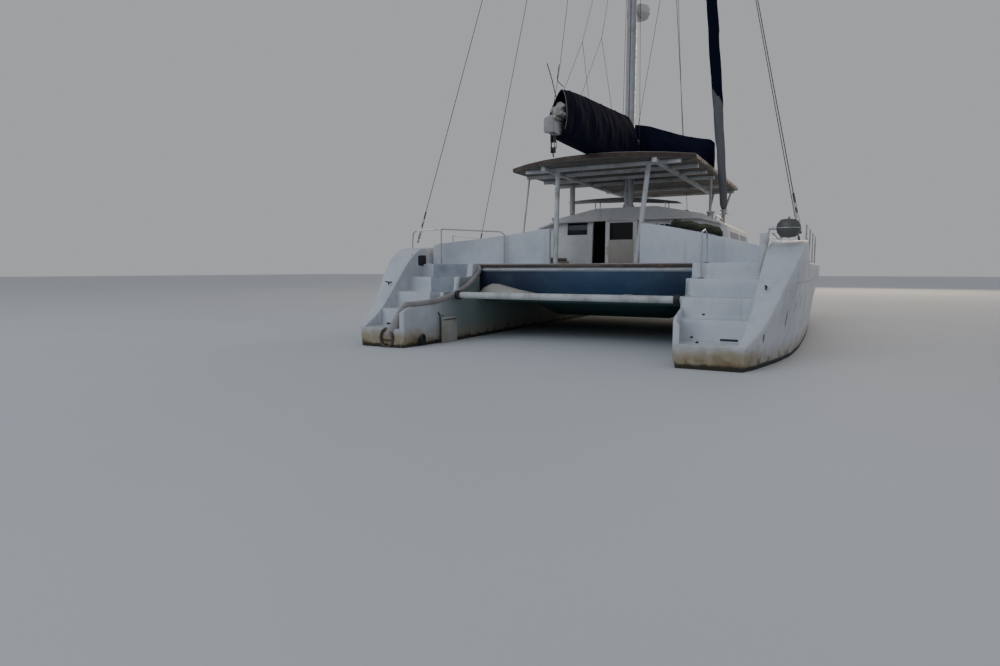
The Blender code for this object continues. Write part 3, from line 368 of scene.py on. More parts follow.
class Nodes:
    """Writes one material's node tree in few words."""

    def __init__(self, name: str) -> None:
        """Start a material with its shader and object coordinates."""
        self.material = bpy.data.materials.new(name)
        self.material.use_nodes = True
        self.tree = self.material.node_tree
        self.shader = self.tree.nodes["Principled BSDF"]
        self.coords = self.tree.nodes.new("ShaderNodeTexCoord").outputs["Object"]

    def set(self, **values: float | Colour) -> None:
        """Set plain values on the shader's own sockets, with _ for spaces."""
        for key, value in values.items():
            socket = self.shader.inputs[key.replace("_", " ").title().replace("Ior", "IOR")]
            socket.default_value = (*value, 1.0) if isinstance(value, tuple) else value

    def to(self, name: str, source: Socket) -> None:
        """Link a source to one of the shader's sockets."""
        self.tree.links.new(source, self.shader.inputs[name])

    def put(self, node: bpy.types.Node, index: int | str, value: object) -> None:
        """Feed a node's input with a socket, a colour or a number."""
        if isinstance(value, bpy.types.NodeSocket):
            self.tree.links.new(value, node.inputs[index])
        elif isinstance(value, tuple) and len(value) == 3 and node.inputs[index].type == "RGBA":
            node.inputs[index].default_value = (*value, 1.0)
        else:
            node.inputs[index].default_value = value

    def stretch(self, by: Sequence[float]) -> Socket:
        """Object coordinates scaled along each axis."""
        node = self.tree.nodes.new("ShaderNodeMapping")
        node.vector_type = "POINT"
        self.put(node, "Vector", self.coords)
        node.inputs["Scale"].default_value = by
        return node.outputs[0]

    def noise(self, scale: float, detail: float = 4.0, rough: float = 0.55,
              by: Sequence[float] = (1, 1, 1)) -> Socket:
        """Fractal noise over the piece."""
        node = self.tree.nodes.new("ShaderNodeTexNoise")
        self.put(node, "Vector", self.stretch(by))
        for key, value in (("Scale", scale), ("Detail", detail), ("Roughness", rough)):
            node.inputs[key].default_value = value
        return node.outputs[0]

    def wave(self, scale: float, axis: str, by: Sequence[float] = (1, 1, 1)) -> Socket:
        """Bands across one axis."""
        node = self.tree.nodes.new("ShaderNodeTexWave")
        node.bands_direction = axis
        self.put(node, "Vector", self.stretch(by))
        node.inputs["Scale"].default_value = scale
        node.inputs["Distortion"].default_value = 0.0
        return node.outputs["Fac"]

    def cells(self, scale: float) -> Socket:
        """Distance to the nearest of many scattered points."""
        node = self.tree.nodes.new("ShaderNodeTexVoronoi")
        self.put(node, "Vector", self.coords)
        node.inputs["Scale"].default_value = scale
        return node.outputs["Distance"]

    def spread(self, value: Socket, low: float, high: float, a: float = 0.0, b: float = 1.0) -> Socket:
        """Map a range of a value smoothly onto another."""
        node = self.tree.nodes.new("ShaderNodeMapRange")
        node.interpolation_type = "SMOOTHSTEP"
        for key, item in (("Value", value), ("From Min", low), ("From Max", high), ("To Min", a),
                          ("To Max", b)):
            self.put(node, key, item)
        return node.outputs[0]

    def sum(self, operation: str, a: object, b: object) -> Socket:
        """One arithmetic step on two values."""
        node = self.tree.nodes.new("ShaderNodeMath")
        node.operation = operation
        self.put(node, 0, a)
        self.put(node, 1, b)
        return node.outputs[0]

    def mix(self, share: object, a: object, b: object) -> Socket:
        """Blend two colours by a share."""
        node = self.tree.nodes.new("ShaderNodeMix")
        node.data_type = "RGBA"
        self.put(node, 0, share)
        self.put(node, 6, a)
        self.put(node, 7, b)
        return node.outputs[2]

    def axis(self, letter: str) -> Socket:
        """One coordinate of the surface point."""
        node = self.tree.nodes.new("ShaderNodeSeparateXYZ")
        self.put(node, 0, self.coords)
        return node.outputs[letter]

    def facing(self, letter: str) -> Socket:
        """One part of the surface's own normal, in object axes."""
        geometry = self.tree.nodes.new("ShaderNodeNewGeometry")
        node = self.tree.nodes.new("ShaderNodeSeparateXYZ")
        self.put(node, 0, geometry.outputs["Normal"])
        return node.outputs[letter]

    def bump(self, height: Socket, strength: float, distance: float,
             normal: Optional[Socket] = None) -> Socket:
        """A bump of a height over a distance in metres."""
        node = self.tree.nodes.new("ShaderNodeBump")
        node.inputs["Strength"].default_value = strength
        node.inputs["Distance"].default_value = distance
        self.put(node, "Height", height)
        if normal is not None:
            self.put(node, "Normal", normal)
        return node.outputs[0]


_MADE: dict[str, bpy.types.Material] = {}


@dataclass(frozen=True)
class Finish:
    """A surface finish, made once and shared by the pieces that wear it."""

    name: str = "finish"

    def paint(self, n: Nodes) -> None:
        """Write the finish's nodes."""

    def material(self) -> bpy.types.Material:
        """The Blender material of this finish."""
        if self.name not in _MADE:
            n = Nodes(self.name)
            self.paint(n)
            _MADE[self.name] = n.material
        return _MADE[self.name]


@dataclass(frozen=True)
class Scuff:
    """A dark rubbed mark: where, how long and high, how it leans in degrees, and how deep it reaches."""

    at: tuple[float, float, float]
    long: float
    thick: float
    lean: float = 0.0
    deep: float = 0.16


@dataclass(frozen=True)
class Gelcoat(Finish):
    """Old white gelcoat: chalky patches, run marks, scum at the waterline, scuffs."""

    name: str = "gelcoat"
    clean: Colour = (0.60, 0.625, 0.675)
    grey: Colour = (0.43, 0.455, 0.50)
    stain: Colour = (0.33, 0.27, 0.17)
    scum: Colour = (0.21, 0.155, 0.075)
    growth: Colour = (0.035, 0.030, 0.018)
    # Teal for the hull's inboard sides: painted shade with a green reflection of the water.
    inboard_shade: Colour = (0.170, 0.235, 0.215)
    speck: Colour = (0.10, 0.09, 0.08)
    rub: Colour = (0.045, 0.045, 0.06)
    stain_high: tuple[float, float] = (0.14, 0.32)
    scum_high: tuple[float, float] = (0.05, 0.17)
    growth_high: tuple[float, float] = (0.018, 0.060)
    # Heights over which the inboard painted shade fades out.
    inboard_shade_high: tuple[float, float] = (0.9, 1.2)
    inboard_x: tuple[float, float] = (1.93, 1.99)
    rough: float = 0.42
    dirt: float = 0.55
    waterline: bool = False
    scuffs: tuple[Scuff, ...] = ()

    def paint(self, n: Nodes) -> None:
        """Layer dirt, streaks, scum and scuffs over the white."""
        cloud = n.spread(n.noise(1.4, 5.0), 0.42, 0.68)
        fine = n.spread(n.noise(9.0, 6.0, 0.65), 0.45, 0.75)
        runs = n.spread(n.noise(6.0, 5.0, 0.7, (1.0, 1.0, 0.12)), 0.52, 0.74)
        colour = n.mix(n.sum("MULTIPLY", cloud, self.dirt), self.clean, self.grey)
        colour = n.mix(n.sum("MULTIPLY", fine, self.dirt * 0.5), colour, self.grey)
        colour = n.mix(n.sum("MULTIPLY", runs, self.dirt * 0.45), colour, self.stain)
        specks = n.spread(n.cells(13.0), 0.03, 0.075, 1.0, 0.0)
        sparse = n.spread(n.noise(2.3, 2.0), 0.56, 0.66)
        colour = n.mix(n.sum("MULTIPLY", specks, n.sum("MULTIPLY", sparse, 0.75)), colour, self.speck)
        if self.waterline:
            colour = self.wet_band(n, colour)
        for scuff in self.scuffs:
            colour = n.mix(self.rubbed(n, scuff), colour, self.rub)
        n.to("Base Color", colour)
        n.to("Roughness", n.spread(n.noise(5.0, 5.0), 0.3, 0.75, self.rough - 0.08, self.rough + 0.25))
        n.set(specular_ior_level=0.4)
        lumps = n.noise(1.1, 2.0)
        grain = n.noise(120.0, 2.0)
        n.to("Normal", n.bump(grain, 0.12, 0.0006, n.bump(lumps, 0.35, 0.01)))

    def wet_band(self, n: Nodes, colour: Socket) -> Socket:
        """Painted shade with a green reflection of the water on the inboard sides; yellow stain, brown scum
        and dark growth above the water.
        """
        z = n.axis("Z")
        ragged = n.sum("MULTIPLY", n.sum("SUBTRACT", n.noise(4.0, 6.0, 0.7), 0.5), 0.30)
        high = n.sum("ADD", z, ragged)
        aft = n.spread(n.axis("Y"), -5.8, -5.2, 0.92, 0.40)
        # Painted shade and green water reflection on the inboard sides, low down, growing towards the
        # bridgedeck.
        inboard = n.spread(n.sum("ABSOLUTE", n.axis("X"), 0.0), *self.inboard_x, 1.0, 0.0)
        inboard = n.sum("MULTIPLY", inboard, n.spread(n.axis("Y"), -5.6, -4.3, 0.30, 0.85))
        below = n.spread(z, *self.inboard_shade_high, 1.0, 0.0)
        colour = n.mix(n.sum("MULTIPLY", inboard, below), colour, self.inboard_shade)
        colour = n.mix(n.sum("MULTIPLY", n.spread(high, *self.stain_high, 1.0, 0.0), aft), colour, self.stain)
        patch = n.spread(n.noise(7.0, 4.0, 0.6), 0.40, 0.62)
        colour = n.mix(n.sum("MULTIPLY", n.spread(high, *self.scum_high, 1.0, 0.0), patch), colour, self.scum)
        edge = n.sum("ADD", z, n.sum("MULTIPLY", ragged, 0.35))
        return n.mix(n.spread(edge, *self.growth_high, 1.0, 0.0), colour, self.growth)

    def rubbed(self, n: Nodes, scuff: Scuff) -> Socket:
        """The mask of one scuff, ragged along its length."""
        node = n.tree.nodes.new("ShaderNodeVectorMath")
        node.operation = "SUBTRACT"
        n.put(node, 0, n.coords)
        node.inputs[1].default_value = scuff.at
        turn = n.tree.nodes.new("ShaderNodeMapping")
        n.put(turn, "Vector", node.outputs[0])
        turn.inputs["Rotation"].default_value = (math.radians(scuff.lean), 0, 0)
        turn.inputs["Scale"].default_value = (1.0 / scuff.deep, 1.0 / scuff.long, 1.0 / scuff.thick)
        length = n.tree.nodes.new("ShaderNodeVectorMath")
        length.operation = "LENGTH"
        n.put(length, 0, turn.outputs[0])
        ragged = n.sum("ADD", length.outputs["Value"], n.sum("MULTIPLY", n.noise(38.0, 5.0, 0.7), 0.9))
        return n.spread(ragged, 0.80, 1.15, 0.85, 0.0)


@dataclass(frozen=True)
class ChalkyPaint(Finish):
    """White paint gone chalky, with rust specks and greasy dirt."""

    name: str = "chalky_paint"
    colour: Colour = (0.55, 0.57, 0.58)
    dirt: Colour = (0.24, 0.22, 0.18)
    rust: Colour = (0.20, 0.12, 0.06)
    amount: float = 0.7
    rough: float = 0.55
    top: Optional[Colour] = None

    def paint(self, n: Nodes) -> None:
        """Blend dirt over the paint and add a grain; a top colour, if any, shows where it faces up, and the
        base colour left on the faces turned down is painted shade.
        """
        cloud = n.spread(n.noise(3.0, 6.0, 0.65), 0.44, 0.74)
        drips = n.spread(n.noise(14.0, 4.0, 0.6, (1, 1, 0.2)), 0.55, 0.8)
        # With a top colour, the faces turned down keep the dark base colour as painted shade.
        base = n.mix(n.spread(n.facing("Z"), 0.3, 0.7), self.colour, self.top) if self.top else self.colour
        colour = n.mix(n.sum("MULTIPLY", cloud, self.amount), base, self.dirt)
        colour = n.mix(n.sum("MULTIPLY", drips, 0.5), colour, self.rust)
        n.to("Base Color", colour)
        n.to("Roughness", n.spread(n.noise(20.0, 3.0), 0.3, 0.7, self.rough - 0.1, self.rough + 0.15))
        n.to("Normal", n.bump(n.noise(60.0, 4.0), 0.3, 0.0015))


@dataclass(frozen=True)
class Canvas(Finish):
    """Woven acrylic canvas with seams, creases and faded crowns."""

    name: str = "navy_canvas"
    colour: Colour = (0.0045, 0.0065, 0.020)
    faded: Colour = (0.010, 0.013, 0.030)
    salt: Colour = (0.06, 0.065, 0.085)
    weave: float = 420.0
    crease: float = 0.5
    sheen: float = 0.0

    def paint(self, n: Nodes) -> None:
        """Weave bump, long creases, and fading where the sun reaches."""
        up = n.spread(n.facing("Z"), -0.1, 0.9)
        cloud = n.spread(n.noise(2.2, 5.0), 0.35, 0.7)
        colour = n.mix(n.sum("MULTIPLY", up, cloud), self.colour, self.faded)
        dried = n.spread(n.noise(26.0, 5.0, 0.7), 0.62, 0.86)
        colour = n.mix(n.sum("MULTIPLY", dried, 0.05), colour, self.salt)
        n.to("Base Color", colour)
        n.set(roughness=0.92, sheen_weight=self.sheen, specular_ior_level=0.08)
        threads = self.weave / 6.28
        cross = n.sum("MULTIPLY", n.wave(threads, "Y"), n.wave(threads, "Z"))
        folds = n.noise(3.2, 3.0, 0.5, (1.0, 0.35, 1.6))
        small = n.noise(11.0, 4.0, 0.6, (1.0, 0.5, 1.8))
        first = n.bump(folds, self.crease, 0.05)
        second = n.bump(small, self.crease * 0.6, 0.015, first)
        n.to("Normal", n.bump(cross, 0.15, 0.0008, second))


@dataclass(frozen=True)
class Sailcloth(Finish):
    """Off-white cloth with a grey cast, creases and a fine weave."""

    name: str = "sailcloth"
    colour: Colour = (0.42, 0.415, 0.38)
    dirt: Colour = (0.17, 0.155, 0.125)

    def paint(self, n: Nodes) -> None:
        """Dirty the folds and add creases."""
        cloud = n.spread(n.noise(7.0, 6.0, 0.65), 0.40, 0.72)
        n.to("Base Color", n.mix(n.sum("MULTIPLY", cloud, 0.8), self.colour, self.dirt))
        n.set(roughness=0.75, sheen_weight=0.15)
        cross = n.sum("MULTIPLY", n.wave(90.0, "Y"), n.wave(90.0, "Z"))
        n.to("Normal", n.bump(cross, 0.1, 0.0006, n.bump(n.noise(12.0, 5.0), 0.5, 0.01)))


@dataclass(frozen=True)
class Metal(Finish):
    """Bare or anodised metal with brushed grain and a tarnish."""

    name: str = "anodised"
    colour: Colour = (0.44, 0.46, 0.49)
    tarnish: Colour = (0.22, 0.215, 0.20)
    rough: float = 0.42
    metallic: float = 0.85
    amount: float = 0.5
    grain: tuple[float, float, float] = (1.0, 1.0, 0.05)

    def paint(self, n: Nodes) -> None:
        """Tarnish in patches, with a fine grain along one axis."""
        cloud = n.spread(n.noise(4.0, 6.0, 0.7), 0.45, 0.75)
        n.to("Base Color", n.mix(n.sum("MULTIPLY", cloud, self.amount), self.colour, self.tarnish))
        n.set(metallic=self.metallic)
        lines = n.noise(180.0, 3.0, 0.6, self.grain)
        n.to("Roughness", n.spread(n.noise(15.0, 4.0), 0.3, 0.75, self.rough - 0.08, self.rough + 0.2))
        n.to("Normal", n.bump(lines, 0.12, 0.0005))


@dataclass(frozen=True)
class Glass(Finish):
    """Smoked acrylic, dark and glossy, with wipe marks."""

    name: str = "smoked_glass"
    colour: Colour = (0.010, 0.011, 0.014)
    alpha: float = 0.93
    rough: float = 0.06

    def paint(self, n: Nodes) -> None:
        """A dark gloss with faint smears."""
        n.set(base_color=self.colour, alpha=self.alpha, ior=1.45, specular_ior_level=0.35)
        n.to("Roughness", n.spread(n.noise(6.0, 5.0, 0.7), 0.45, 0.8, self.rough, self.rough + 0.22))
        n.to("Normal", n.bump(n.noise(2.0, 2.0), 0.05, 0.01))


@dataclass(frozen=True)
class Rubber(Finish):
    """Black rubber, plastic or old rope, matt and dusty."""

    name: str = "rubber"
    colour: Colour = (0.018, 0.018, 0.020)
    dust: Colour = (0.10, 0.095, 0.09)
    rough: float = 0.7
    scale: float = 30.0

    def paint(self, n: Nodes) -> None:
        """Dust over the base, with a fine grain."""
        cloud = n.spread(n.noise(self.scale * 0.4, 5.0, 0.65), 0.42, 0.78)
        n.to("Base Color", n.mix(n.sum("MULTIPLY", cloud, 0.7), self.colour, self.dust))
        n.set(roughness=self.rough)
        n.to("Normal", n.bump(n.noise(self.scale * 4, 3.0), 0.3, 0.001))


@dataclass(frozen=True)
class Rope(Finish):
    """Laid or braided line: slanted strands over a worn colour."""

    name: str = "rope"
    colour: Colour = (0.32, 0.30, 0.26)
    worn: Colour = (0.13, 0.12, 0.10)
    strands: float = 34.0

    def paint(self, n: Nodes) -> None:
        """Bands that slant across the line, as its strands do."""
        bands = n.wave(self.strands, "DIAGONAL")
        n.to("Base Color", n.mix(bands, self.worn, self.colour))
        n.set(roughness=0.85, sheen_weight=0.2)
        n.to("Normal", n.bump(bands, 0.6, 0.002))


@dataclass(frozen=True)
class Antifouling(Finish):
    """Dull bottom paint with slime, weed and worn edges."""

    name: str = "antifouling"
    colour: Colour = (0.020, 0.026, 0.040)
    weed: Colour = (0.060, 0.065, 0.030)
    barnacle: Colour = (0.25, 0.24, 0.20)

    def paint(self, n: Nodes) -> None:
        """Weed in patches and barnacles in dots."""
        patch = n.spread(n.noise(3.5, 6.0, 0.7), 0.42, 0.66)
        dots = n.spread(n.cells(26.0), 0.10, 0.22, 1.0, 0.0)
        colour = n.mix(patch, self.colour, self.weed)
        n.to("Base Color", n.mix(n.sum("MULTIPLY", dots, 0.35), colour, self.barnacle))
        n.set(roughness=0.85)
        n.to("Normal", n.bump(n.noise(24.0, 6.0, 0.7), 0.6, 0.006))


@dataclass(frozen=True)
class WovenPad(Finish):
    """Diamond non-skid or net cord, matt and grey with trodden dirt."""

    name: str = "tread_pad"
    colour: Colour = (0.40, 0.42, 0.45)
    dirt: Colour = (0.20, 0.19, 0.17)

    def paint(self, n: Nodes) -> None:
        """A diamond grid in relief and dirt in its middle."""
        grid = n.sum("MAXIMUM", n.wave(9.0, "DIAGONAL"), n.wave(9.0, "DIAGONAL", by=(-1, 1, 1)))
        cloud = n.spread(n.noise(2.5, 6.0, 0.65), 0.40, 0.70)
        n.to("Base Color", n.mix(n.sum("MULTIPLY", cloud, 0.8), self.colour, self.dirt))
        n.set(roughness=0.82)
        n.to("Normal", n.bump(grid, 0.5, 0.002))


@dataclass(frozen=True)
class BridgeFace(Finish):
    """The bridgedeck: white on top, beige in the cockpit, navy to blue astern and dim teal below as painted
    shade and painted water reflection.
    """

    name: str = "bridge_face"
    white: Colour = (0.52, 0.55, 0.60)
    beige: Colour = (0.42, 0.38, 0.33)
    # Painted shade: navy to blue on the aft face, with teal for a painted reflection of the water.
    navy: Colour = (0.010, 0.018, 0.045)
    blue: Colour = (0.016, 0.048, 0.105)
    teal: Colour = (0.070, 0.150, 0.150)
    white_dirt: Colour = (0.34, 0.33, 0.30)
    beige_dirt: Colour = (0.26, 0.23, 0.19)
    blue_grows: tuple[float, float] = (-1.6, 0.2)
    blue_fades: tuple[float, float] = (1.0, 1.7)
    aft_face: tuple[float, float] = (-3.76, -3.74)
    belly: tuple[float, float] = (0.66, 0.74)
    deck_edge: tuple[float, float] = (1.16, 1.20)

    def paint(self, n: Nodes) -> None:
        """Choose the colour by where the surface is."""
        # The aft face's navy to blue, patched with teal, is painted shade with painted water reflection.
        across = n.spread(n.axis("X"), *self.blue_grows)
        back = n.spread(n.axis("X"), *self.blue_fades, 1.0, 0.35)
        face = n.mix(n.sum("MULTIPLY", across, back), self.navy, self.blue)
        face = n.mix(n.spread(n.noise(3.0, 5.0), 0.45, 0.75, 0.0, 0.22), face, self.teal)
        inside = n.mix(n.spread(n.noise(2.5, 5.0), 0.40, 0.70), self.beige, self.beige_dirt)
        upper = n.mix(n.spread(n.noise(4.0, 6.0), 0.45, 0.70, 0.0, 0.6), self.white, self.white_dirt)
        colour = n.mix(n.spread(n.axis("Y"), *self.aft_face), face, inside)
        # The underside in teal is painted shade with painted water reflection.
        colour = n.mix(n.spread(n.axis("Z"), *self.belly, 1.0, 0.0), colour, self.teal)
        colour = n.mix(n.spread(n.axis("Z"), *self.deck_edge), colour, upper)
        n.to("Base Color", colour)
        n.set(roughness=0.55, specular_ior_level=0.35)
        n.to("Normal", n.bump(n.noise(1.2, 2.0), 0.3, 0.01))


GELCOAT = Gelcoat()
# A brighter white than the hulls', as painted light on the cabin's aft face under the roof's shade.
CABIN_WHITE = Gelcoat(name="cabin_gelcoat", clean=(0.72, 0.72, 0.71), grey=(0.50, 0.49, 0.47), dirt=0.6)
FAIRING_WHITE = Gelcoat(name="fairing_gelcoat", clean=(0.46, 0.46, 0.42), grey=(0.33, 0.32, 0.27), dirt=0.9)
COCKPIT_BEIGE = Gelcoat(name="cockpit_gelcoat", clean=(0.47, 0.43, 0.38), grey=(0.33, 0.30, 0.26), dirt=0.6)
# The topsides also carry the teal painted shade and water reflection on the inboard sides.
TOPSIDES = Gelcoat(name="topside_gelcoat", waterline=True, scuffs=(
    Scuff((3.08, -5.45, 0.37), 0.055, 0.13, -8.0), Scuff((3.31, -4.73, 0.54), 0.050, 0.26, -14.0),
    Scuff((3.36, -4.80, 0.90), 0.050, 0.16, -10.0, 0.10), Scuff((3.43, -4.10, 0.78), 0.05, 0.22, -8.0),
    Scuff((3.43, -4.30, 0.86), 0.04, 0.05), Scuff((3.38, -4.45, 0.70), 0.03, 0.12, -12.0),
    Scuff((-1.99, -5.50, 0.06), 0.16, 0.10), Scuff((-3.38, -4.30, 0.60), 0.05, 0.20, -12.0)))
# Grey-blue non-skid, laid on the port steps only and darkened as painted shade of that inboard corner.
STEP_PAD = WovenPad(name="step_pad", colour=(0.30, 0.335, 0.38), dirt=(0.19, 0.20, 0.21))
DECK_PAD = WovenPad(name="deck_pad", colour=(0.42, 0.44, 0.46), dirt=(0.24, 0.23, 0.21))
BOTTOM = Antifouling()
NAVY = Canvas()
OLIVE_CLOTH = Canvas(name="olive_canvas", colour=(0.045, 0.047, 0.034), faded=(0.12, 0.12, 0.085), crease=0.9)
# Dark grey cloth: on the roll's foot it is partly painted shade over sailcloth; it also edges the sail
# cover's rim.
GREY_CLOTH = Canvas(name="grey_canvas", colour=(0.15, 0.155, 0.165), faded=(0.26, 0.26, 0.26))
BEIGE_CLOTH = Canvas(name="beige_canvas", colour=(0.30, 0.27, 0.22), faded=(0.40, 0.37, 0.32))
SAIL = Sailcloth()
ANODISED = Metal()
STAINLESS = Metal(name="stainless", colour=(0.52, 0.52, 0.52), tarnish=(0.26, 0.22, 0.17), rough=0.32,
                  metallic=1.0, amount=0.55)
STAY_WIRE = Metal(name="stay_wire", colour=(0.085, 0.087, 0.090), tarnish=(0.05, 0.045, 0.04), rough=0.55,
                  metallic=0.5, amount=0.6)
RUST = Metal(name="rusty_steel", colour=(0.10, 0.070, 0.050), tarnish=(0.24, 0.22, 0.19), rough=0.7,
             metallic=0.3, amount=0.8)
WHITE_PAINT = ChalkyPaint()
# The roof's underside is dark as painted shade; its top is white.
ROOF_PAINT_SHADED_BELOW = ChalkyPaint(name="roof_shaded_below", colour=(0.155, 0.145, 0.13), dirt=(0.13, 0.12, 0.10), amount=0.55,
                         top=(0.50, 0.50, 0.48))
# Dark slats as painted shadow under the roof.
SLAT_SHADOW_PAINT = ChalkyPaint(name="slat_painted_shadow", colour=(0.12, 0.115, 0.10), dirt=(0.10, 0.09, 0.075), amount=0.8)
VISOR_PAINT = ChalkyPaint(name="visor_paint", colour=(0.34, 0.37, 0.37), dirt=(0.20, 0.20, 0.18), amount=0.5)
BROWN_TRIM = ChalkyPaint(name="brown_trim", colour=(0.060, 0.040, 0.030), dirt=(0.16, 0.13, 0.10), amount=0.6)
FENDER = ChalkyPaint(name="faded_fender", colour=(0.36, 0.33, 0.34), dirt=(0.17, 0.14, 0.13), amount=0.8)
GLASS = Glass()
BLACK = Rubber()
GREY_RUBBER = Rubber(name="grey_rubber", colour=(0.15, 0.145, 0.14), dust=(0.30, 0.28, 0.25))
WHITE_PLASTIC = ChalkyPaint(name="white_plastic", colour=(0.60, 0.61, 0.61), dirt=(0.36, 0.34, 0.30),
                            amount=0.5, rough=0.4)
LINE = Rope()
DARK_LINE = Rope(name="dark_rope", colour=(0.05, 0.05, 0.055), worn=(0.02, 0.02, 0.022))
BRONZE = Metal(name="bronze", colour=(0.42, 0.25, 0.10), tarnish=(0.12, 0.16, 0.11), rough=0.5, metallic=0.9,
               amount=0.8)
IRON = Metal(name="cast_iron", colour=(0.030, 0.045, 0.055), tarnish=(0.07, 0.06, 0.05), rough=0.38,
             metallic=0.4)
GRILL_ENAMEL = Metal(name="grill_enamel", colour=(0.11, 0.115, 0.11), tarnish=(0.16, 0.13, 0.09), rough=0.42,
                     metallic=0.3, amount=0.6)


def turned(at: Sequence[float], toward: Sequence[float]) -> Matrix:
    """A placing whose Z runs from a point along a direction."""
    turn = Vector(toward).to_track_quat("Z", "Y").to_matrix().to_4x4()
    return Matrix.Translation(Vector(at)) @ turn


def disc(pen: Pen, at: Sequence[float], toward: Sequence[float], radius: float, high: float,
         mark: int = 0) -> None:
    """A low round plate with an eased rim.

    Args:
        pen: The pen that draws it.
        at: The middle of its foot.
        toward: The way it faces.
        radius: Its radius.
        high: How far it stands out.
        mark: Its finish.
    """
    e = min(high, radius) * 0.3
    rows = [(radius * 0.5, 0.0), (radius, 0.0), (radius, high - e), (radius - e, high), (radius * 0.4, high)]
    pen.lathe(rows, turned(at, toward), 20, mark)


@dataclass
class Hull:
    """One hull: a lofted shell with its sugar scoop, waterline and gunwale."""

    side: Side
    centre: float = 2.48
    strake: float = 1.02
    knuckle: float = 0.50
    bilge_flat: float = 0.15
    water_share: float = 0.92
    toe_high: float = 0.012
    boot_top: float = 0.03
    bulwark_at_stern: float = 0.34
    bulwark_per_metre: float = 0.085
    wall_face: float = 0.50
    wall_taper: float = 0.14
    fillet: float = 0.028
    lip: float = 0.004
    riser: float = 0.045
    scoop_end: float = 3.10
    hump_end: float = 3.10
    wall_end: float = 2.20
    narrow_from: float = 9.0
    stations: tuple[tuple[float, ...], ...] = (
        (0.12, .42, .46, .10, .30, .42), (0.50, .54, .60, .18, .50, .48), (0.85, .62, .71, .24, .78, .52),
        (1.27, .71, .85, .31, 1.18, .55), (1.60, .76, .94, .37, 1.44, .57), (1.95, .81, .97, .43, 1.59, .57),
        (2.40, .84, .97, .47, 1.62, .57), (2.80, .86, .97, .50, 1.52, .57),
        (3.10, .87, .97, .50, DECK_Z, .57), (4.60, .88, .97, .50, DECK_Z, .57),
        (6.40, .86, .97, .50, DECK_Z, .57), (8.00, .78, .97, .50, DECK_Z, .57),
        (8.92, .68, .97, .47, DECK_Z, .57), (9.80, .54, .86, .43, 1.34, .55),
        (10.80, .34, .62, .36, 1.41, .46), (11.50, .16, .36, .27, 1.46, .30),
        (11.90, .05, .16, .16, 1.49, .14), (12.00, .02, .08, .08, 1.50, .08))
    inboard_top: tuple[tuple[float, float], ...] = (
        (0.12, .57), (0.22, .61), (0.60, .63), (1.05, .68), (1.36, .80), (1.80, 1.02), (2.10, 1.20),
        (2.24, DECK_Z), (12.0, DECK_Z))
    ledge: float = 0.026
    treads: tuple[tuple[float, float], ...] = (
        (.60, .28), (1.05, .55), (1.50, .82), (1.95, 1.07), (3.10, DECK_Z))
    well: tuple[float, float, float, float] = (3.75, 0.62, 0.95, 0.95)
    well_top: float = 2.0
    pad_faces: tuple[int, ...] = (30, 31)
    step_pad: tuple[float, float] = (0.62, 2.16)
    deck_pad: tuple[float, float] = (4.30, 10.6)
    deck_pad_gap: tuple[float, float] = (8.6, 9.0)
    transom_crown: tuple[tuple[float, float], ...] = ((0.97, 0.012), (0.90, 0.018))
    close_places: tuple[float, ...] = (
        0.12, 0.14, 0.18, 0.24, 0.32, 0.42, 0.52, 3.06, 3.10, 3.14, 8.88, 8.92, 11.95, 12.0)
    even_from: float = 0.7
    even_pitch: float = 0.16
    exhaust_x: tuple[float, float] = (2.005, 2.035)
    exhaust_rows: tuple[tuple[float, float], ...] = (
        (0.030, 0.0), (0.075, 0.0), (0.082, 0.012), (0.072, 0.022), (0.055, 0.022), (0.050, 0.004))
    drains: tuple[tuple[float, float, float], ...] = (
        (2.18, .590, .315), (2.24, 1.040, .585), (2.30, .33, .281))
    flanges: tuple[tuple[float, float, float], ...] = ((2.05, 1.88, 1.07), (2.05, 2.30, DECK_Z))
    collar_rows: tuple[tuple[float, float], ...] = (
        (0.058, -0.045), (0.076, -0.040), (0.080, 0.0), (0.076, 0.040), (0.058, 0.045))
    tube_radius: float = 0.044
    tube_path: tuple[tuple[float, float, float], ...] = (
        (2.095, .27, .655), (2.02, .55, .665), (1.955, .90, .70), (1.900, 1.36, .80), (1.872, 1.75, .95),
        (1.868, 2.02, 1.10), (1.875, 2.13, 1.20), (1.91, 2.15, 1.26))
    band_path: tuple[tuple[float, float, float], ...] = (
        (2.09, .28, .66), (2.14, .20, .54), (2.21, .15, .38), (2.28, .13, .26), (2.34, .125, .17))
    band_radii: tuple[float, float] = (0.040, 0.046)

    def size(self, forward: float, column: int) -> float:
        """A size of the hull's table at a place."""
        return monotone(self.stations, forward, column)

    def tread(self, forward: float) -> float:
        """Height of the scoop's stair, or of the deck ahead of it."""
        height = self.treads[0][1]
        for (end, _), (_, high) in zip(self.treads, self.treads[1:]):
            if forward > end - self.riser / 2:
                height = lerp(height, high, glide((forward - end + self.riser / 2) / self.riser))
        if forward > self.hump_end:
            return self.size(forward, 4)
        return min(height, self.size(forward, 4))

    def side_x(self, forward: float, z: float, outboard: bool) -> float:
        """Half beam of one side of the hull at a height."""
        water, deck = self.size(forward, 1), self.size(forward, 2)
        strake = min(self.strake, self.size(forward, 4) * 0.8)
        knuckle = min(self.knuckle, strake * 0.6)
        if outboard:
            rows = ((0.0, water), (knuckle, (deck + water) / 2), (strake, deck - self.ledge), (9.0, deck))
        else:
            inboard = self.size(forward, 5)
            rows = ((0.0, min(water, inboard * self.water_share)), (knuckle, inboard), (9.0, inboard))
        return monotone(rows, z, 1)

    def pad_edges(self, forward: float, start: float, inside: float) -> tuple[float, float]:
        """Outboard and inboard edge of the non-skid on the tread or the deck."""
        if forward < self.scoop_end:
            outer = lerp(-0.34, 0.30, glide((forward - 0.75) / 1.4))
        else:
            outer = start - 0.09
        return min(outer, start - 0.03), inside + 0.035

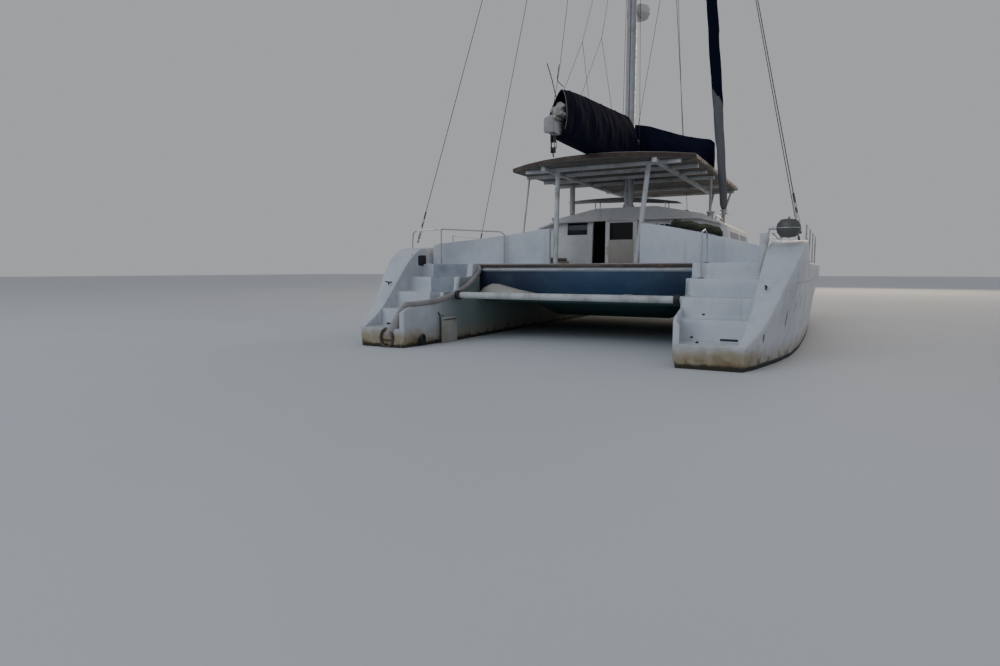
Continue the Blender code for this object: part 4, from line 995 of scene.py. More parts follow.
    def ring(self, forward: float) -> Ring:
        """One section of the shell, from the keel up outboard and down inboard."""
        water, deck, draft, sheer, inboard = (self.size(forward, k) for k in (1, 2, 3, 4, 5))
        tread = self.tread(forward)
        strake = min(self.strake, sheer * 0.8)
        out = self.bilge(water, draft)
        for share in (0.03 / max(strake, 0.05), 0.2, 0.4, 0.6, 0.8, 1.0):
            out.append((self.side_x(forward, strake * share, True), strake * share))
        edge = deck - self.lip
        out.append((edge, strake + 0.014))
        toe = sheer + (self.toe_high if forward > self.scoop_end else 0.0)
        r = min(self.fillet, (toe - strake) * 0.4, deck * 0.2)
        out.append((deck - 0.001, lerp(strake, toe - r, 0.5)))
        for i in range(4):
            t = math.radians(30.0 * i)
            out.append((edge - r + r * math.cos(t), toe - r + r * math.sin(t)))
        inner = self.bulwark_at_stern + self.bulwark_per_metre * forward
        edge_x = edge - 2 * r - self.lip
        if forward > self.scoop_end - 0.3:
            inner = lerp(inner, edge_x, glide((forward - self.scoop_end + 0.3) / 0.4))
        inner = min(inner, edge_x)
        ri = min(self.fillet, max(toe - tread, 0.004) * 0.45)
        for i in range(4):
            t = math.radians(90.0 + 30.0 * i)
            out.append((inner + ri + ri * math.cos(t), toe - ri + ri * math.sin(t)))
        for i in range(4):
            t = math.radians(30.0 * i)
            out.append((inner - ri + ri * math.cos(t), tread + ri - ri * math.sin(t)))
        out += self.inboard_edge(forward, tread, inner - ri)
        out += [(-x, z) for x, z in reversed(self.bilge(min(water, inboard * self.water_share), draft))]
        y = station(forward)
        return [Vector((self.side.value * (self.centre + x), y, z)) for x, z in out]

    def bilge(self, water: float, draft: float) -> list[tuple[float, float]]:
        """The turn of the bilge, from the keel to the waterline, on one side."""
        flat = min(self.bilge_flat, water * 0.5)
        turn = []
        for i in range(9):
            t = math.radians(90.0 * (8 - i) / 8.0)
            turn.append((flat + (water - flat) * max(math.cos(t), 0.0) ** 0.8, -draft * math.sin(t) ** 0.8))
        return turn

    def inboard_edge(self, forward: float, tread: float, start: float) -> list[tuple[float, float]]:
        """The tread, the low wall along its inboard edge, and the hull's inboard side.

        Args:
            forward: Place of the section.
            tread: Height of the tread there.
            start: Where the tread begins, outboard.

        Returns:
            Points in order, down to the boot top.
        """
        top = max(monotone(self.inboard_top, forward, 1), tread + 0.004)
        if forward > self.wall_end:
            top = tread + 0.003
        rise = top - tread
        left = -self.side_x(forward, top, False)
        inside = -self.wall_face + self.wall_taper * max(0.0, 1.0 - forward)
        if forward > self.narrow_from:
            inside = left + 0.07
        inside = max(inside, left + 0.03)
        r = min((inside - left) * 0.45, max(rise, 0.004) * 0.45)
        outer, inner = self.pad_edges(forward, start, inside + r)
        outer = max(outer, inner + 0.01)
        out = [(lerp(start, outer, 0.5), tread), (outer, tread), (lerp(outer, inner, 0.5), tread),
               (inner, tread)]
        for i in range(4):
            t = math.radians(30.0 * i)
            out.append((inside + r - r * math.sin(t), tread + r - r * math.cos(t)))
        for i in range(4):
            t = math.radians(30.0 * i)
            out.append((inside - r + r * math.cos(t), top - r + r * math.sin(t)))
        for i in range(4):
            t = math.radians(90.0 + 30.0 * i)
            out.append((left + r + r * math.cos(t), top - r + r * math.sin(t)))
        for share in (0.8, 0.6, 0.4, 0.2, 0.03):
            z = (top - r) * share
            out.append((-self.side_x(forward, z, False), z))
        return out

    def places(self) -> list[float]:
        """Places of the sections: close at the stern, the risers and the stem."""
        rows = set(self.close_places)
        for end, _ in self.treads[:-1]:
            rows.update(end + self.riser * k / 6.0 for k in range(-4, 5))
        v = self.even_from
        while v < LENGTH:
            if all(abs(v - row) > 0.03 for row in rows):
                rows.add(round(v, 3))
            v += self.even_pitch
        return sorted(rows)

    def finish_of(self, pen: Pen, corners: tuple[int, ...], j: int, count: int) -> Coat:
        """Which finish a face of the shell wears.

        Args:
            pen: The pen that holds the shell's points.
            corners: The face's corners.
            j: The face's place round its section.
            count: Points in a section.

        Returns:
            The face's coat.
        """
        middle = sum((pen.points[k] for k in corners), Vector()) / len(corners)
        forward = middle.y + LENGTH / 2.0
        if middle.z < self.boot_top * 0.5 and len(corners) < count:
            return Coat.BOTTOM
        if j in self.pad_faces:
            # The port steps' grey-blue pad is real non-skid darkened as painted shade.
            if self.side is Side.PORT and within(forward, self.step_pad):
                return Coat.STEP_PAD
            if within(forward, self.deck_pad) and not within(forward, self.deck_pad_gap):
                return Coat.DECK_PAD
        return Coat.SKIN

    def shell(self) -> None:
        """The shell, painted by height, with its engine well cut."""
        pen = Pen()
        rings = [self.ring(v) for v in self.places()]
        first = rings[0]
        middle = sum(first, Vector()) / len(first)
        for share, bulge in self.transom_crown:
            rings.insert(0, [middle.lerp(p, share) + Vector((0, -bulge, 0)) for p in first])
        pen.skin(rings)
        count = len(rings[0])
        for i, corners in enumerate(pen.faces):
            pen.marks[i] = self.finish_of(pen, corners, i % count, count)
        obj = pen.make(f"hull_shell_{self.side.word}", (TOPSIDES, BOTTOM, STEP_PAD, DECK_PAD), SHELL_SMOOTH)
        at, wide, long, deep = self.well
        x, y = self.side.value * self.centre, station(at)
        carve(obj, (x - wide / 2, y - long / 2, DECK_Z - deep), (x + wide / 2, y + long / 2, self.well_top))
        obj.data.set_sharp_from_angle(angle=math.radians(SHELL_SMOOTH))
        place(obj, Slot.GELCOAT, instead=(f"hull_{self.side.word}",))

    def at(self, x: float, forward: float, z: float) -> Vector:
        """A point at a distance from the boat's centreline on this side."""
        return Vector((self.side.value * x, station(forward), z))

    def stern_gear(self) -> None:
        """Exhaust, slot, drains, cleats and tube collar about the scoop, and the port side's rub tube."""
        s = self.side.value
        pen = Pen()
        if self.side is Side.PORT:
            self.rub_tube(pen)
        exhaust = self.at(self.exhaust_x[0 if self.side is Side.PORT else 1], .52, .09)
        pen.lathe(self.exhaust_rows, turned(exhaust, (-s, 0, 0)), 24, 1)
        # A dark strip at the riser's foot paints the shade inside a recessed slot.
        pen.box(*self.span((2.55, .575, .292), (2.77, .600, .322)), mark=1, round_by=0.010)
        for x, v, z in self.drains:
            pen.box(*self.span((x, v - .012, z), (x + .035, v + .010, z + .022)), mark=1, round_by=0.006)
        self.cleat(pen, 3.03, 1.02, self.size(1.02, 4) + 0.002)
        self.cleat(pen, 3.30, 9.6, self.size(9.6, 4) + 0.004)
        self.cleat(pen, 3.34, 6.0, DECK_Z + 0.004)
        if self.side is Side.STARBOARD:
            for x, v, z in self.flanges:
                disc(pen, self.at(x, v, z), (0, 0, 1), 0.045, 0.012, 1)
        pen.lathe(self.collar_rows, turned(self.at(1.83, 1.35, .77), (s, 0, 0)), 20, 1)
        place(pen.make(f"scoop_gear_{self.side.word}", (FENDER, BLACK), 45.0), Slot.STEEL)

    def rub_tube(self, pen: Pen) -> None:
        """The faded tube along the port scoop's inboard edge, and its flat end down the transom's corner."""
        pen.tube(curve_through([self.at(*p) for p in self.tube_path]), self.tube_radius, 12, 0)
        band = curve_through([self.at(*p) for p in self.band_path])
        radii = [lerp(*self.band_radii, glide((i - 4) / 8)) for i in range(len(band))]
        pen.tube(band, radii, 14, 0, 2.0)

    def cleat(self, pen: Pen, x: float, forward: float, z: float) -> None:
        """A dark horn cleat lying fore and aft."""
        for dv in (-0.035, 0.035):
            pen.tube([self.at(x, forward + dv, z - 0.003), self.at(x, forward + dv, z + 0.035)], 0.011, 8, 1)
        horns = [self.at(x, forward + dv, z + dz)
                 for dv, dz in ((-0.11, 0.052), (-0.04, 0.040), (0.04, 0.040), (0.11, 0.052))]
        pen.tube(curve_through(horns), 0.011, 8, 1)

    def span(self, a: Sequence[float], b: Sequence[float]) -> tuple[Vector, Vector]:
        """Low and high corner of a box given by two places on this side."""
        p, q = self.at(*a), self.at(*b)
        return (Vector([min(p[i], q[i]) for i in range(3)]), Vector([max(p[i], q[i]) for i in range(3)]))

    def build(self) -> None:
        """Build the hull."""
        self.shell()
        self.stern_gear()


@dataclass
class PortQuarter:
    """What only the port quarter shows: cubby, fairing, boarding board, ring fitting."""

    hull: Hull
    fairing: tuple[tuple[float, float, float], ...] = (
        (1.895, .80, .05), (1.80, .88, .12), (1.62, .95, .20), (1.50, .945, .19), (1.10, .85, .12),
        (.62, .765, .03))
    fairing_low: float = .735
    fairing_back: float = 2.215
    fairing_face: float = 2.198
    ring_at: tuple[float, float, float] = (2.38, .085, .13)
    ring_half: tuple[float, float] = (0.115, 0.145)
    ring_bar: float = 0.022

    def build(self) -> None:
        """Build the two pieces."""
        self.quarter_gear()
        self.ring_fitting()

    def quarter_gear(self) -> None:
        """The fairing under the bridgedeck, the boarding board with its hooks, and the cubby."""
        at, span = self.hull.at, self.hull.span
        low, back, face = self.fairing_low, self.fairing_back, self.fairing_face
        pen = Pen()
        rings = []
        for x, top, deep in self.fairing:
            rings.append([at(x, back, low), at(x, face - deep, low),
                          at(x, face - deep * 0.9, lerp(low, top, .5)),
                          at(x, face - deep * 0.5, top - .01), at(x, face - deep * 0.25, top),
                          at(x, back, top)])
        pen.skin(rings, mark=0)
        pen.box(*span((1.905, .96, -.02), (1.935, 1.42, .42)), mark=0, round_by=0.012)
        pen.box(*span((1.897, .99, .36), (1.906, 1.39, .375)), mark=1)
        for v in (1.02, 1.36):
            pen.tube([at(1.93, v, .40), at(1.97, v, .47)], 0.010, 8, 1)
        pen.tube([at(1.915, .90, .47), at(1.915, .90, .03), at(1.94, .90, .0)], 0.010, 8, 1)
        pen.tube([at(1.915, .90, .46), at(1.95, .90, .50)], 0.010, 8, 1)
        pen.box(*span((2.972, 1.62, 1.265), (3.02, 2.06, 1.465)), mark=1, round_by=0.02)
        place(pen.make("port_quarter_gear", (FAIRING_WHITE, BLACK), 40.0), Slot.GELCOAT)

    def ring_fitting(self) -> None:
        """The rusty oval ring on the transom, its two lugs and its plate."""
        at, span = self.hull.at, self.hull.span
        x, v, z = self.ring_at
        wide, high = self.ring_half
        bar = self.ring_bar
        pen = Pen()
        rings = []
        for i in range(25):
            t = 2 * math.pi * i / 24
            c = at(x + wide * math.cos(t), v, z + high * math.sin(t))
            out = at(x + 0.2 * math.cos(t), v, z + 0.2 * math.sin(t)) - c
            out.normalize()
            rings.append([c + out * (bar * math.cos(a)) + Vector((0, bar * math.sin(a), 0))
                          for a in [2 * math.pi * k / 10 for k in range(10)]])
        pen.skin(rings, Cap.OPEN)
        for x in (2.29, 2.47):
            pen.tube([at(x, .085, .21), at(x, .14, .24)], 0.014, 8)
        pen.box(*span((2.30, .075, .08), (2.46, .105, .11)), round_by=0.01)
        place(pen.make("transom_ring", (RUST,), 45.0), Slot.STEEL)


@dataclass
class Underwater:
    """Keel, rudder, drive leg and propeller of one side, each with its finish and its eased edges."""

    side: Side
    wear: tuple[tuple[str, Finish, float], ...] = (
        ("keel", BOTTOM, 0.02), ("rudder", BOTTOM, 0.004), ("drive_leg", IRON, 0.004),
        ("propeller", BRONZE, 0.0015))

    def build(self) -> None:
        """Dress the nodes under the hull."""
        for name, finish, width in self.wear:
            dress(f"{name}_{self.side.word}", finish, width)


def dress(node: str, finish: Finish, width: float = 0.0) -> None:
    """Give a node of the frame a finish and, where asked, rounded edges.

    Args:
        node: The node's name.
        finish: Its finish.
        width: How far its edges are rounded, or nothing.
    """
    obj = NODES[node]
    obj.data.materials.clear()
    obj.data.materials.append(finish.material())
    if width:
        ease(obj, width)
    LOG.info("%s dressed in %s", node, finish.name)


@dataclass
class SailCover:
    """The mainsail's cover along the boom, open at its aft end over the flaked sail."""

    fore: float = 4.74
    aft: float = 1.24
    low: float = 3.182
    lean: float = 0.22
    rows: tuple[tuple[float, float, float], ...] = (
        (1.24, 3.93, 0.150), (1.50, 3.97, 0.170), (1.90, 4.01, 0.190), (2.60, 4.06, 0.200),
        (3.40, 4.12, 0.205), (4.20, 4.18, 0.215), (4.74, 4.22, 0.240))
    lining: float = 2.2
    seams: tuple[float, ...] = (1.55, 2.35, 3.15, 3.95, 4.55)
    flakes: tuple[tuple[float, float, float, float], ...] = (
        (-.035, 3.455, .080, 1.10), (.030, 3.520, .090, 1.16), (-.02, 3.59, .095, 1.22),
        (.025, 3.655, .080, 1.30), (-.02, 3.71, .055, 1.38))

    def ring(self, v: float, wall: float = 0.0) -> Ring:
        """One section: a drop shape that hangs from its ridge and laces under the boom."""
        top, half = (monotone(self.rows, v, k) for k in (1, 2))
        lean = self.lean * (1.0 - glide((v - self.aft) / 1.5))
        ring = []
        for k in range(32):
            t = 2 * math.pi * k / 32
            s, c = math.sin(t), math.cos(t)
            share = 0.5 - 0.5 * c
            wide = (math.sin(math.pi * share ** 0.85) ** 0.75) * 0.92 + 0.42 * (1 - share) ** 5 + 0.06
            sag = 0.010 * math.sin(v * 9.0 + 3 * t) + 0.006 * math.sin(v * 21.0 - 2 * t)
            out = max(half * wide + sag * math.sin(math.pi * share) - wall, 0.012)
            x = math.copysign(out, s) if abs(s) > 1e-6 else 0.0
            z = lerp(self.low + wall, top - wall, share)
            ring.append(Vector((x, station(v) + lean * max(share - 0.2, 0.0) ** 1.2, z)))
        return ring

    def build(self) -> None:
        """Skin the cover with its rim and seams, then the sail and the spar end that it shows."""
        self.cloth()
        self.sail()
        self.spar_end()

    def cloth(self) -> None:
        """The cover, turned in at its open end, with its rim and seams."""
        pen = Pen()
        steps = 60
        rings = [self.ring(lerp(self.aft, self.fore, i / steps)) for i in range(steps + 1)]
        inner = [self.ring(lerp(self.aft, self.lining, i / 10), 0.010) for i in range(11)]
        pen.skin(list(reversed(inner)) + rings)
        rim = self.ring(self.aft, 0.004)
        pen.tube(rim[4:29], 0.007, 8, 1)
        for v in self.seams:
            pen.tube(self.ring(v, -0.002)[2:31], 0.006, 6, 0)
        obj = pen.make("sail_cover_cloth", (NAVY, GREY_CLOTH), 60.0)
        place(obj, Slot.CANVAS, "boom", ("sail_cover",))

    def sail(self) -> None:
        """The flakes of the mainsail, one over the other."""
        pen = Pen()
        for x, z, wide, start in self.flakes:
            path = []
            for i in range(9):
                sway, lift = 0.012 * math.sin(5 * i + z), 0.01 * math.cos(4 * i + x * 30)
                path.append((x + sway, station(start + 0.12 * i), z + lift))
            pen.tube(curve_through(path, 4), wide, 16, 0, 0.42)
        place(pen.make("flaked_mainsail", (SAIL,), 60.0), Slot.CANVAS, "boom")

    def spar_end(self) -> None:
        """The boom's end casting, its outhaul strap and a pin."""
        pen = Pen()
        pen.box((-0.082, station(.905), 3.195), (0.082, station(.975), 3.425), 0, round_by=0.035)
        pen.box((-0.072, station(.97), 3.375), (0.072, station(1.35), 3.40), 1, round_by=0.008)
        pen.tube([(0.055, station(.93), 3.44), (0.055, station(.93), 3.50)], 0.012, 8, 1)
        place(pen.make("boom_end", (FENDER, GREY_RUBBER), 40.0), Slot.ALLOY, "boom")


@dataclass
class Roll:
    """The rolled headsail: grey below, partly its own cloth and partly painted shade, navy above, with
    wrapped turns.
    """

    foot: tuple[float, float, float] = (1.82, -0.68, 2.30)
    head: tuple[float, float, float] = (1.24, -1.149, 9.43)
    deck: tuple[float, float, float] = (1.82, -0.68, 2.10)
    thick: float = 0.080
    turns: float = 34.0
    grey_up_to: float = 4.48
    drum: tuple[tuple[float, float], ...] = (
        (0.02, -0.05), (0.080, -0.045), (0.084, -0.03), (0.05, -0.025), (0.05, 0.025), (0.084, 0.03),
        (0.080, 0.045), (0.02, 0.05))

    def build(self) -> None:
        """Skin the roll with a spiral of turns, then its drum."""
        foot, head = Vector(self.foot), Vector(self.head)
        axis = (head - foot).normalized()
        side = axis.cross(Vector((0, 1, 0))).normalized()
        up = axis.cross(side)
        pen = Pen()
        rings = []
        steps, sides = 150, 24
        for i in range(steps + 1):
            s = i / steps
            r = self.thick * (0.85 + 0.40 * glide(s * 2.5) - 0.70 * glide((s - 0.55) / 0.45))
            r *= glide(s * 30 + 0.25) * (1.0 - 0.8 * glide((s - 0.97) / 0.03))
            centre = foot.lerp(head, s)
            ring = []
            for k in range(sides):
                t = 2 * math.pi * k / sides
                turn = (t - s * self.turns) % (2 * math.pi) / (2 * math.pi)
                bulge = r * (0.93 + 0.10 * turn) + 0.004 * math.sin(5 * t + s * 60)
                ring.append(centre + (side * math.cos(t) + up * math.sin(t)) * bulge)
            rings.append(ring)
        pen.skin(rings)
        # The roll's foot wears dark grey cloth: off-white sailcloth darkened partly as painted shade.
        for i in range(steps * sides):
            row, k = divmod(i, sides)
            edge = self.grey_up_to + 0.16 * math.cos(2 * math.pi * k / sides)
            pen.marks[i] = 0 if rings[row][k].z > edge else 1
        pen.tube([self.deck, tuple(foot + axis * 0.10)], [0.020, 0.024], 12, 2)
        pen.lathe(self.drum, turned(foot + axis * 0.02, axis), 24, 2)
        obj = pen.make("rolled_headsail", (NAVY, GREY_CLOTH, STAINLESS), 50.0)
        place(obj, Slot.CANVAS, instead=("furled_headsail",))


@dataclass
class SailBag:
    """The bag of spare canvas across the roof, sagging between its ends."""

    at: float = 5.42
    low: float = 3.172
    rows: tuple[tuple[float, float, float], ...] = (
        (-0.15, 4.16, 0.08), (-0.06, 4.19, 0.13), (0.20, 4.15, 0.18), (0.55, 4.03, 0.235), (1.00, 3.87, 0.24),
        (1.32, 3.79, 0.21), (1.50, 3.75, 0.15), (1.58, 3.68, 0.07))
    ties: tuple[float, ...] = (0.30, 0.72, 1.14)

    def build(self) -> None:
        """Skin the bag with slack creases and its ties."""
        pen = Pen()
        rings = []
        steps = 48
        for i in range(steps + 1):
            x = lerp(self.rows[0][0], self.rows[-1][0], i / steps)
            rings.append(self.ring(x, 0.0))
        pen.skin(rings)
        for x in self.ties:
            pen.tube(self.ring(x, 0.004)[1:26], 0.006, 6, 0)
        obj = pen.make("spare_sail_bag", (NAVY,), 60.0)
        place(obj, Slot.CANVAS, instead=("sail_bag",))

    def ring(self, x: float, grow: float) -> Ring:
        """One section of the bag at a distance to starboard."""
        top, half = monotone(self.rows, x, 1), monotone(self.rows, x, 2) + grow
        ring = []
        for k in range(26):
            t = 2 * math.pi * k / 26
            share = 0.5 - 0.5 * math.cos(t)
            wide = half * (math.sin(math.pi * share ** 0.7) ** 0.7 + 0.25 * (1 - share))
            crease = 0.012 * math.sin(x * 17 + 4 * share * math.pi)
            out = math.copysign(wide + crease, math.sin(t)) if abs(math.sin(t)) > 1e-6 else 0.0
            ring.append(Vector((x, station(self.at) + out, lerp(self.low, top + grow, share))))
        return ring


@dataclass
class Roof:
    """The hard roof: its edge trim and the slats under it."""

    starboard_half: float = 1.62
    port_half: float = 1.86
    aft: float = 3.45
    fore: float = 8.45
    under: float = 3.08
    thick: float = 0.09
    bow: float = 0.80
    notch_half: float = 1.22
    notch_at: float = 5.75
    slat_pitch: float = 0.208
    slat_half: float = 0.095
    slat_inset: float = 0.06

    def outline(self, grow: float) -> list[tuple[float, float]]:
        """Plan of the roof, grown all round."""
        points = []
        for i in range(25):
            t = -1.0 + 2.0 * i / 24.0
            half = self.port_half if t < 0 else self.starboard_half
            points.append(((half + grow) * t, station(self.aft - self.bow * (1.0 - t * t)) - grow))
        points += [(self.starboard_half + grow, station(self.fore) + grow),
                   (-self.notch_half - grow, station(self.fore) + grow),
                   (-self.notch_half - grow, station(self.notch_at) + grow),
                   (-self.port_half - grow, station(self.notch_at) + grow)]
        return points

    def trim(self) -> None:
        """The brown edge that runs round the roof."""
        pen = Pen()
        rings = []
        top = self.thick
        for grow, z in ((0.002, 0.012), (0.008, 0.014), (0.008, top - 0.014), (0.002, top - 0.010),
                        (-0.01, top - 0.012), (-0.01, 0.016)):
            rings.append([Vector((x, y, self.under + z)) for x, y in self.outline(grow)])
        rings.append(rings[0])
        pen.skin(rings, Cap.OPEN)
        place(pen.make("roof_edge", (BROWN_TRIM,), 30.0), Slot.PAINT)

    def slats(self) -> None:
        """Battens across the underside, between the beams, dark as painted shadow."""
        pen = Pen()
        v = self.aft - 0.55
        while v < self.fore - 0.10:
            t = min(max((self.aft - v) / self.bow, 0.0), 1.0)
            share = math.sqrt(max(1.0 - t, 0.0)) if v < self.aft else 1.0
            right = self.starboard_half * share
            left = self.port_half * share if v < self.notch_at - 0.05 else self.notch_half
            pen.box((-left + self.slat_inset, station(v) - self.slat_half, self.under - 0.014),
                    (right - self.slat_inset, station(v) + self.slat_half, self.under + 0.001))
            v += self.slat_pitch
        place(pen.make("roof_slats", (SLAT_SHADOW_PAINT,), 30.0), Slot.PAINT)

    def build(self) -> None:
        """Dress the roof, its frame, its trim and slats."""
        dress("roof", ROOF_PAINT_SHADED_BELOW, 0.012)
        dress("roof_frame", WHITE_PAINT, 0.004)
        self.trim()
        self.slats()


@dataclass
class Coaming:
    """The curved white panel astern of the cockpit on one side, with its locker."""

    side: Side
    thick: float = 0.11
    low: float = DECK_Z + 0.0005
    top_round: float = 0.032
    locker_x: tuple[float, float] = (2.50, 2.92)
    locker_fore: float = 3.12
    port: tuple[tuple[float, float, float], ...] = (
        (.84, 2.88, 1.96), (1.50, 2.80, 1.86), (2.34, 2.58, 1.76), (2.94, 2.22, 1.68))
    starboard: tuple[tuple[float, float, float], ...] = (
        (.84, 2.88, 2.00), (1.50, 2.80, 1.88), (2.34, 2.50, 1.68), (2.94, 2.22, 1.52))

    @property
    def table(self) -> tuple[tuple[float, float, float], ...]:
        """This side's rows: distance from the centreline, aft face, height of the top."""
        return self.port if self.side is Side.PORT else self.starboard

    def build(self) -> None:
        """Loft the panel, then the locker behind its outboard end."""
        pen = Pen()
        rings = []
        steps = 44
        start, end = self.table[0][0], self.table[-1][0]
        for i in range(steps + 1):
            x = lerp(start, end, i / steps)
            ease_in = min(i, steps - i, 3) / 3.0
            rings.append(self.ring(x, 0.018 * (1.0 - ease_in) ** 2))
        pen.skin(rings)
        near, far = self.locker_x
        lid = monotone(self.table, far, 2) - 0.06
        aft = monotone(self.table, near, 1) + 0.03
        for inset, back, low, high, ease_by in ((0.0, 0.0, self.low, lid, 0.025),
                                                (0.05, 0.10, lid - 0.01, lid + 0.012, 0.010)):
            a = self.at(near + inset, aft + back, low)
            b = self.at(far - inset, self.locker_fore - inset, high)
            pen.box([min(pair) for pair in zip(a, b)], [max(pair) for pair in zip(a, b)], round_by=ease_by)
        obj = pen.make(f"coaming_panel_{self.side.word}", (GELCOAT,), 35.0)
        place(obj, Slot.GELCOAT, instead=(f"coaming_{self.side.word}",))

    def ring(self, x: float, shrink: float) -> Ring:
        """One section of the panel, eased at its top and at the panel's ends."""
        y0 = station(monotone(self.table, x, 1)) + shrink
        top = monotone(self.table, x, 2) - shrink
        y1 = y0 + self.thick - 2 * shrink
        r, low = self.top_round, self.low
        section = [(y0, low), (y0, low + 0.10), (y0, lerp(low, top, 0.6)), (y0 + 0.002, top - r),
                   (y0 + r * 0.3, top - r * 0.3), (y0 + r, top), (y1 - r, top), (y1 - r * 0.3, top - r * 0.3),
                   (y1, top - r), (y1, lerp(low, top, 0.5)), (y1, low)]
        return [Vector((self.side.value * x, y, z)) for y, z in section]

    def at(self, x: float, forward: float, z: float) -> Vector:
        """A point at a distance from the centreline on this side."""
        return Vector((self.side.value * x, station(forward), z))


@dataclass
class AftDeck:
    """The rub rail, the white line under it, and the rolled weather cloth on the coaming."""

    half: float = 1.905
    face: float = 2.20
    cloth_x: tuple[float, float] = (1.36, 2.22)
    cloth_high: tuple[float, float] = (0.078, 0.092)
    cloth_ties: tuple[float, ...] = (0.2, 0.47, 0.74)

    def build(self) -> None:
        """Lay the rails along the bridgedeck's aft edge, then the cloth."""
        pen = Pen()
        y = station(self.face)
        pen.box((-self.half, y - 0.030, 1.236), (self.half, y + 0.02, 1.286), 0, round_by=0.014)
        pen.box((-self.half, y - 0.014, 1.284), (self.half, y + 0.03, 1.304), 1, round_by=0.006)
        pen.box((-self.half, y - 0.012, 1.192), (self.half, y + 0.01, 1.210), 2, round_by=0.005)
        place(pen.make("aft_rub_rail", (BROWN_TRIM, FENDER, WHITE_PAINT), 40.0), Slot.PAINT)
        self.cloth()

    def cloth(self) -> None:
        """The rolled weather cloth that lies on the starboard coaming."""
        table = Coaming(Side.STARBOARD).starboard
        pen = Pen()
        rings = []
        steps = 60
        for i in range(steps + 1):
            s = i / steps
            x = lerp(*self.cloth_x, s)
            v = monotone(table, x, 1) + 0.075
            top = monotone(table, x, 2) + 0.003
            high = lerp(*self.cloth_high, s) * (0.55 + 0.45 * glide(min(s, 1 - s) * 14))
            high *= 1 + 0.05 * math.sin(s * 19)
            pinch = 1.0 - 0.10 * sum(math.exp(-((s - m) / 0.014) ** 2) for m in self.cloth_ties)
            ring = []
            for k in range(20):
                t = 2 * math.pi * k / 20
                r = high * pinch * (1 + 0.06 * math.sin(4 * t + s * 21))
                ring.append(Vector((x, station(v) + r * 0.95 * math.cos(t),
                                    top + high * 0.80 + r * 0.80 * math.sin(t))))
            rings.append(ring)
        pen.skin(rings)
        place(pen.make("weather_cloth", (OLIVE_CLOTH,), 60.0), Slot.CANVAS)


